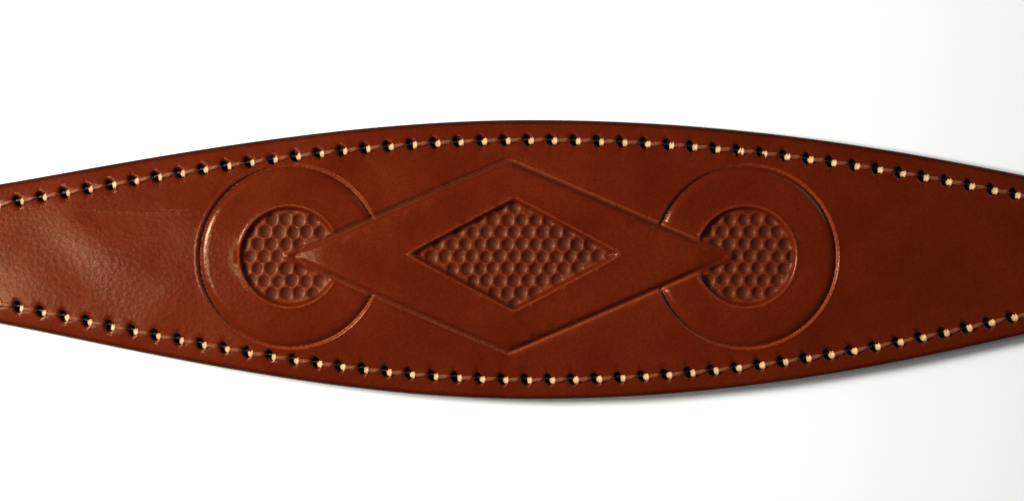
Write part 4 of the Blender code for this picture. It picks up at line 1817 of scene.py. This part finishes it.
@dataclass(frozen=True)
class LiningLeather:
    """Undyed calf lining: pale tan, soft, with a fine close grain and hardly any shine."""

    name: str = "calf_lining"
    face: str = "#a06a40"
    dark: str = "#7b4a28"
    edge: str = "#2c0b05"           # dyed together with the strap's edge
    grain: float = 0.6 * MILLIMETRE
    cloud: float = 18.0 * MILLIMETRE

    def make(self) -> bpy.types.Material:
        """Make the material.

        Returns:
            The material.
        """
        made, add, place = new_material(self.name)
        cloud = add("ShaderNodeTexNoise", {"Vector": place, "Scale": per_metre(self.cloud),
                                           "Detail": 5.0}).outputs["Fac"]
        grain = add("ShaderNodeTexVoronoi", {"Vector": place, "Scale": per_metre(self.grain)})
        share = add("ShaderNodeMath", {0: cloud, 1: 0.9}, operation="MULTIPLY").outputs[0]
        base = add("ShaderNodeMix", {0: share, 6: linear(self.face), 7: linear(self.dark)},
                   data_type="RGBA").outputs[2]
        inset = add("ShaderNodeAttribute", attribute_name="inset").outputs["Fac"]
        edge = add("ShaderNodeMapRange", {"Value": inset, "From Min": 0.0002, "From Max": 0.001,
                                          "To Min": 0.9, "To Max": 0.0}).outputs[0]
        base = add("ShaderNodeMix", {0: edge, 6: base, 7: linear(self.edge)},
                   data_type="RGBA").outputs[2]
        bump = add("ShaderNodeBump", {"Height": grain.outputs["Distance"], "Distance": 0.00005,
                                      "Strength": 0.5})
        shader = add("ShaderNodeBsdfPrincipled", {"Base Color": base, "Roughness": 0.66, "IOR": 1.48,
                                                  "Normal": bump.outputs["Normal"]})
        add("ShaderNodeOutputMaterial", {"Surface": shader.outputs["BSDF"]})
        return made


@dataclass(frozen=True)
class WaxedThread:
    """Twisted linen thread, waxed by hand: cream at the start of each stitch, partly a painted highlight,
    stained tan where dye rubbed off, and painted shade where it sinks into a hole.
    """

    name: str = "waxed_linen_thread"
    # cream thread, placed at the start of each stitch where it also paints a highlight
    clean: str = "#d2aa76"
    stained: str = "#7a3a16"
    sinking_shade: str = "#140803"         # painted shade where it sinks into the next hole
    stain: float = 2.2 * MILLIMETRE
    fibre: float = 0.12 * MILLIMETRE

    def make(self) -> bpy.types.Material:
        """Make the material.

        Returns:
            The material.
        """
        made, add, place = new_material(self.name)
        noise = add("ShaderNodeTexNoise", {"Vector": place, "Scale": per_metre(self.stain),
                                           "Detail": 3.0}).outputs["Fac"]
        # cream at each stitch's start, partly a painted highlight, turns to tan along it
        stain = add("ShaderNodeAttribute", attribute_name="stain").outputs["Fac"]
        share = add("ShaderNodeMath", {0: stain, 1: noise}, operation="ADD").outputs[0]
        share = add("ShaderNodeMapRange", {"Value": share, "From Min": 0.45, "From Max": 1.25}).outputs[0]
        base = add("ShaderNodeMix", {0: share, 6: linear(self.clean), 7: linear(self.stained)},
                   data_type="RGBA").outputs[2]
        # painted shade where the thread sinks into the next hole
        sunk = add("ShaderNodeMapRange", {"Value": stain, "From Min": 1.0, "From Max": 2.0}).outputs[0]
        base = add("ShaderNodeMix", {0: sunk, 6: base, 7: linear(self.sinking_shade)},
                   data_type="RGBA").outputs[2]
        fibres = add("ShaderNodeTexNoise", {"Vector": place, "Scale": per_metre(self.fibre),
                                            "Detail": 2.0}).outputs["Fac"]
        bump = add("ShaderNodeBump", {"Height": fibres, "Distance": 0.00004, "Strength": 0.5})
        shader = add("ShaderNodeBsdfPrincipled", {
            "Base Color": base, "Roughness": 0.5, "Normal": bump.outputs["Normal"],
            "Coat Weight": 0.25, "Coat Roughness": 0.35})
        add("ShaderNodeOutputMaterial", {"Surface": shader.outputs["BSDF"]})
        return made


@dataclass(frozen=True)
class SolidBrass:
    """Cast brass, tumbled and polished: warm yellow metal with faint polishing lines and duller, rougher
    patches.
    """

    name: str = "solid_brass"
    bright: str = "#e3bd72"
    dull: str = "#b98a45"
    tarnish: float = 3.0 * MILLIMETRE
    line: float = 0.8 * MILLIMETRE

    def make(self) -> bpy.types.Material:
        """Make the material.

        Returns:
            The material.
        """
        made, add, place = new_material(self.name)
        tarnish = add("ShaderNodeTexNoise", {"Vector": place, "Scale": per_metre(self.tarnish),
                                             "Detail": 6.0, "Roughness": 0.6}).outputs["Fac"]
        base = add("ShaderNodeMix", {0: tarnish, 6: linear(self.bright), 7: linear(self.dull)},
                   data_type="RGBA").outputs[2]
        rough = add("ShaderNodeMapRange", {"Value": tarnish, "From Min": 0.3, "From Max": 0.7,
                                           "To Min": 0.16, "To Max": 0.34}).outputs[0]
        drawn_out = add("ShaderNodeMapping", {"Vector": place, "Scale": (1.0, 12.0, 1.0)})
        lines = add("ShaderNodeTexNoise", {"Vector": drawn_out.outputs[0],
                                           "Scale": per_metre(self.line), "Detail": 3.0})
        bump = add("ShaderNodeBump", {"Height": lines.outputs["Fac"], "Distance": 0.00001,
                                      "Strength": 0.3})
        shader = add("ShaderNodeBsdfPrincipled", {"Base Color": base, "Metallic": 1.0,
                                                  "Roughness": rough, "Normal": bump.outputs["Normal"]})
        add("ShaderNodeOutputMaterial", {"Surface": shader.outputs["BSDF"]})
        return made


@dataclass(frozen=True)
class WoolFelt:
    """Needled wool felt: matt grey-brown with matted fibres."""

    name: str = "wool_felt"
    light: str = "#a79d8c"
    dark: str = "#82796a"
    fibre: float = 0.5 * MILLIMETRE

    def make(self) -> bpy.types.Material:
        """Make the material.

        Returns:
            The material.
        """
        made, add, place = new_material(self.name)
        fibres = add("ShaderNodeTexNoise", {"Vector": place, "Scale": per_metre(self.fibre),
                                            "Detail": 6.0, "Distortion": 1.5}).outputs["Fac"]
        base = add("ShaderNodeMix", {0: fibres, 6: linear(self.light), 7: linear(self.dark)},
                   data_type="RGBA").outputs[2]
        bump = add("ShaderNodeBump", {"Height": fibres, "Distance": 0.0002, "Strength": 0.7})
        shader = add("ShaderNodeBsdfPrincipled", {"Base Color": base, "Roughness": 0.95,
                                                  "Normal": bump.outputs["Normal"]})
        add("ShaderNodeOutputMaterial", {"Surface": shader.outputs["BSDF"]})
        return made


@dataclass(frozen=True)
class Paper:
    """Matt white background paper."""

    name: str = "background_paper"
    tone: str = "#f4f6f7"
    fibre: float = 0.4 * MILLIMETRE

    def make(self) -> bpy.types.Material:
        """Make the material.

        Returns:
            The material.
        """
        made, add, place = new_material(self.name)
        fibres = add("ShaderNodeTexNoise", {"Vector": place, "Scale": per_metre(self.fibre),
                                            "Detail": 2.0}).outputs["Fac"]
        bump = add("ShaderNodeBump", {"Height": fibres, "Distance": 0.00002, "Strength": 0.1})
        shader = add("ShaderNodeBsdfPrincipled", {"Base Color": linear(self.tone), "Roughness": 0.9,
                                                  "Normal": bump.outputs["Normal"]})
        add("ShaderNodeOutputMaterial", {"Surface": shader.outputs["BSDF"]})
        return made


# ---- studio --------------------------------------------------------------------------------------

@dataclass(frozen=True)
class Softbox:
    """Square area light that faces the middle of the set."""

    name: str
    place: tuple[float, float, float]
    size: float
    watts: float
    tone: str = "#ffffff"

    def add(self, aim: Vector) -> None:
        """Add the light.

        Args:
            aim: Point that it faces.
        """
        lamp = bpy.data.lights.new(self.name, "AREA")
        lamp.size = self.size
        lamp.energy = self.watts
        lamp.color = linear(self.tone)[:3]
        made = bpy.data.objects.new(self.name, lamp)
        made.location = self.place
        made.rotation_euler = (aim - Vector(self.place)).to_track_quat("-Z", "Y").to_euler()
        bpy.context.scene.collection.objects.link(made)


@dataclass
class Studio:
    """White paper, a strong light and a small one on the left, a weak one behind, a camera above."""

    middle: tuple[float, float] = (-0.0042, 0.0003)
    view_width: float = 0.1843
    face_height: float = 0.005
    lens: float = 85.0
    sensor: float = 36.0
    floor_size: float = 3.0
    lights: tuple[Softbox, ...] = (
        Softbox("key_softbox", (-0.36, 0.08, 0.32), 0.14, 4.2, "#fffdf8"),
        Softbox("glow_softbox", (-0.245, -0.03, 0.43), 0.08, 0.40, "#fffaf2"),
        Softbox("fill_softbox", (0.70, 0.55, 0.35), 0.50, 1.2, "#eef5ff"),
    )
    sky: str = "#f4f9ff"
    sky_strength: float = 0.07

    def build(self) -> None:
        """Set up the floor, the lights, the world and the camera."""
        bm = bmesh.new()
        bmesh.ops.create_grid(bm, x_segments=1, y_segments=1, size=self.floor_size / 2.0)
        bmesh.ops.translate(bm, verts=bm.verts, vec=(0.0, 0.0, -0.0001))
        paper = link_mesh("paper", bm)
        paper.data.materials.append(Paper().make())
        aim = Vector((*self.middle, self.face_height))
        for light in self.lights:
            light.add(aim)
        world = bpy.data.worlds.new("room")
        world.use_nodes = True
        world.node_tree.nodes["Background"].inputs["Color"].default_value = linear(self.sky)
        world.node_tree.nodes["Background"].inputs["Strength"].default_value = self.sky_strength
        bpy.context.scene.world = world
        lens = bpy.data.cameras.new("camera")
        lens.lens, lens.sensor_width, lens.sensor_fit = self.lens, self.sensor, "HORIZONTAL"
        camera = bpy.data.objects.new("camera", lens)
        distance = self.view_width * self.lens / self.sensor
        camera.location = (*self.middle, self.face_height + distance)
        bpy.context.scene.collection.objects.link(camera)
        bpy.context.scene.camera = camera
        bpy.context.scene.view_settings.view_transform = "Standard"
        log.info("studio: camera %.0f mm above the leather", distance * 1000.0)


def main() -> None:
    """Build the collar's looks, piece by piece, and the studio round it."""
    logging.basicConfig(level=logging.INFO, format="%(name)s: %(message)s")
    pattern = CollarPattern()
    bridle, lining_look = BridleLeather().make(), LiningLeather().make()
    thread, brass = WaxedThread().make(), SolidBrass().make()
    seams = {
        "edge_seam": SeamLine(pattern, pattern.edge_seam_start, pattern.tip_x),
        "buckle_seam": SeamLine(pattern, pattern.bar_x + pattern.box_seam_from_bar,
                                pattern.keeper_x + pattern.box_seam_past_keeper),
    }
    rows = tuple(seams.values())
    Strap(pattern, Motif(pattern), rows).build(bridle)
    Lining(pattern, rows[:1]).build(lining_look)
    Stitching(pattern, seams).build(thread)
    Keeper(pattern).build(bridle)
    Buckle(pattern).build(brass)
    DeeRing(pattern).build(brass)
    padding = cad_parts["padding"]
    padding.data.materials.clear()
    padding.data.materials.append(WoolFelt().make())
    log.info("padding: kept as felt between the leathers")
    Studio().build()


if __name__ == "__main__":
    main()
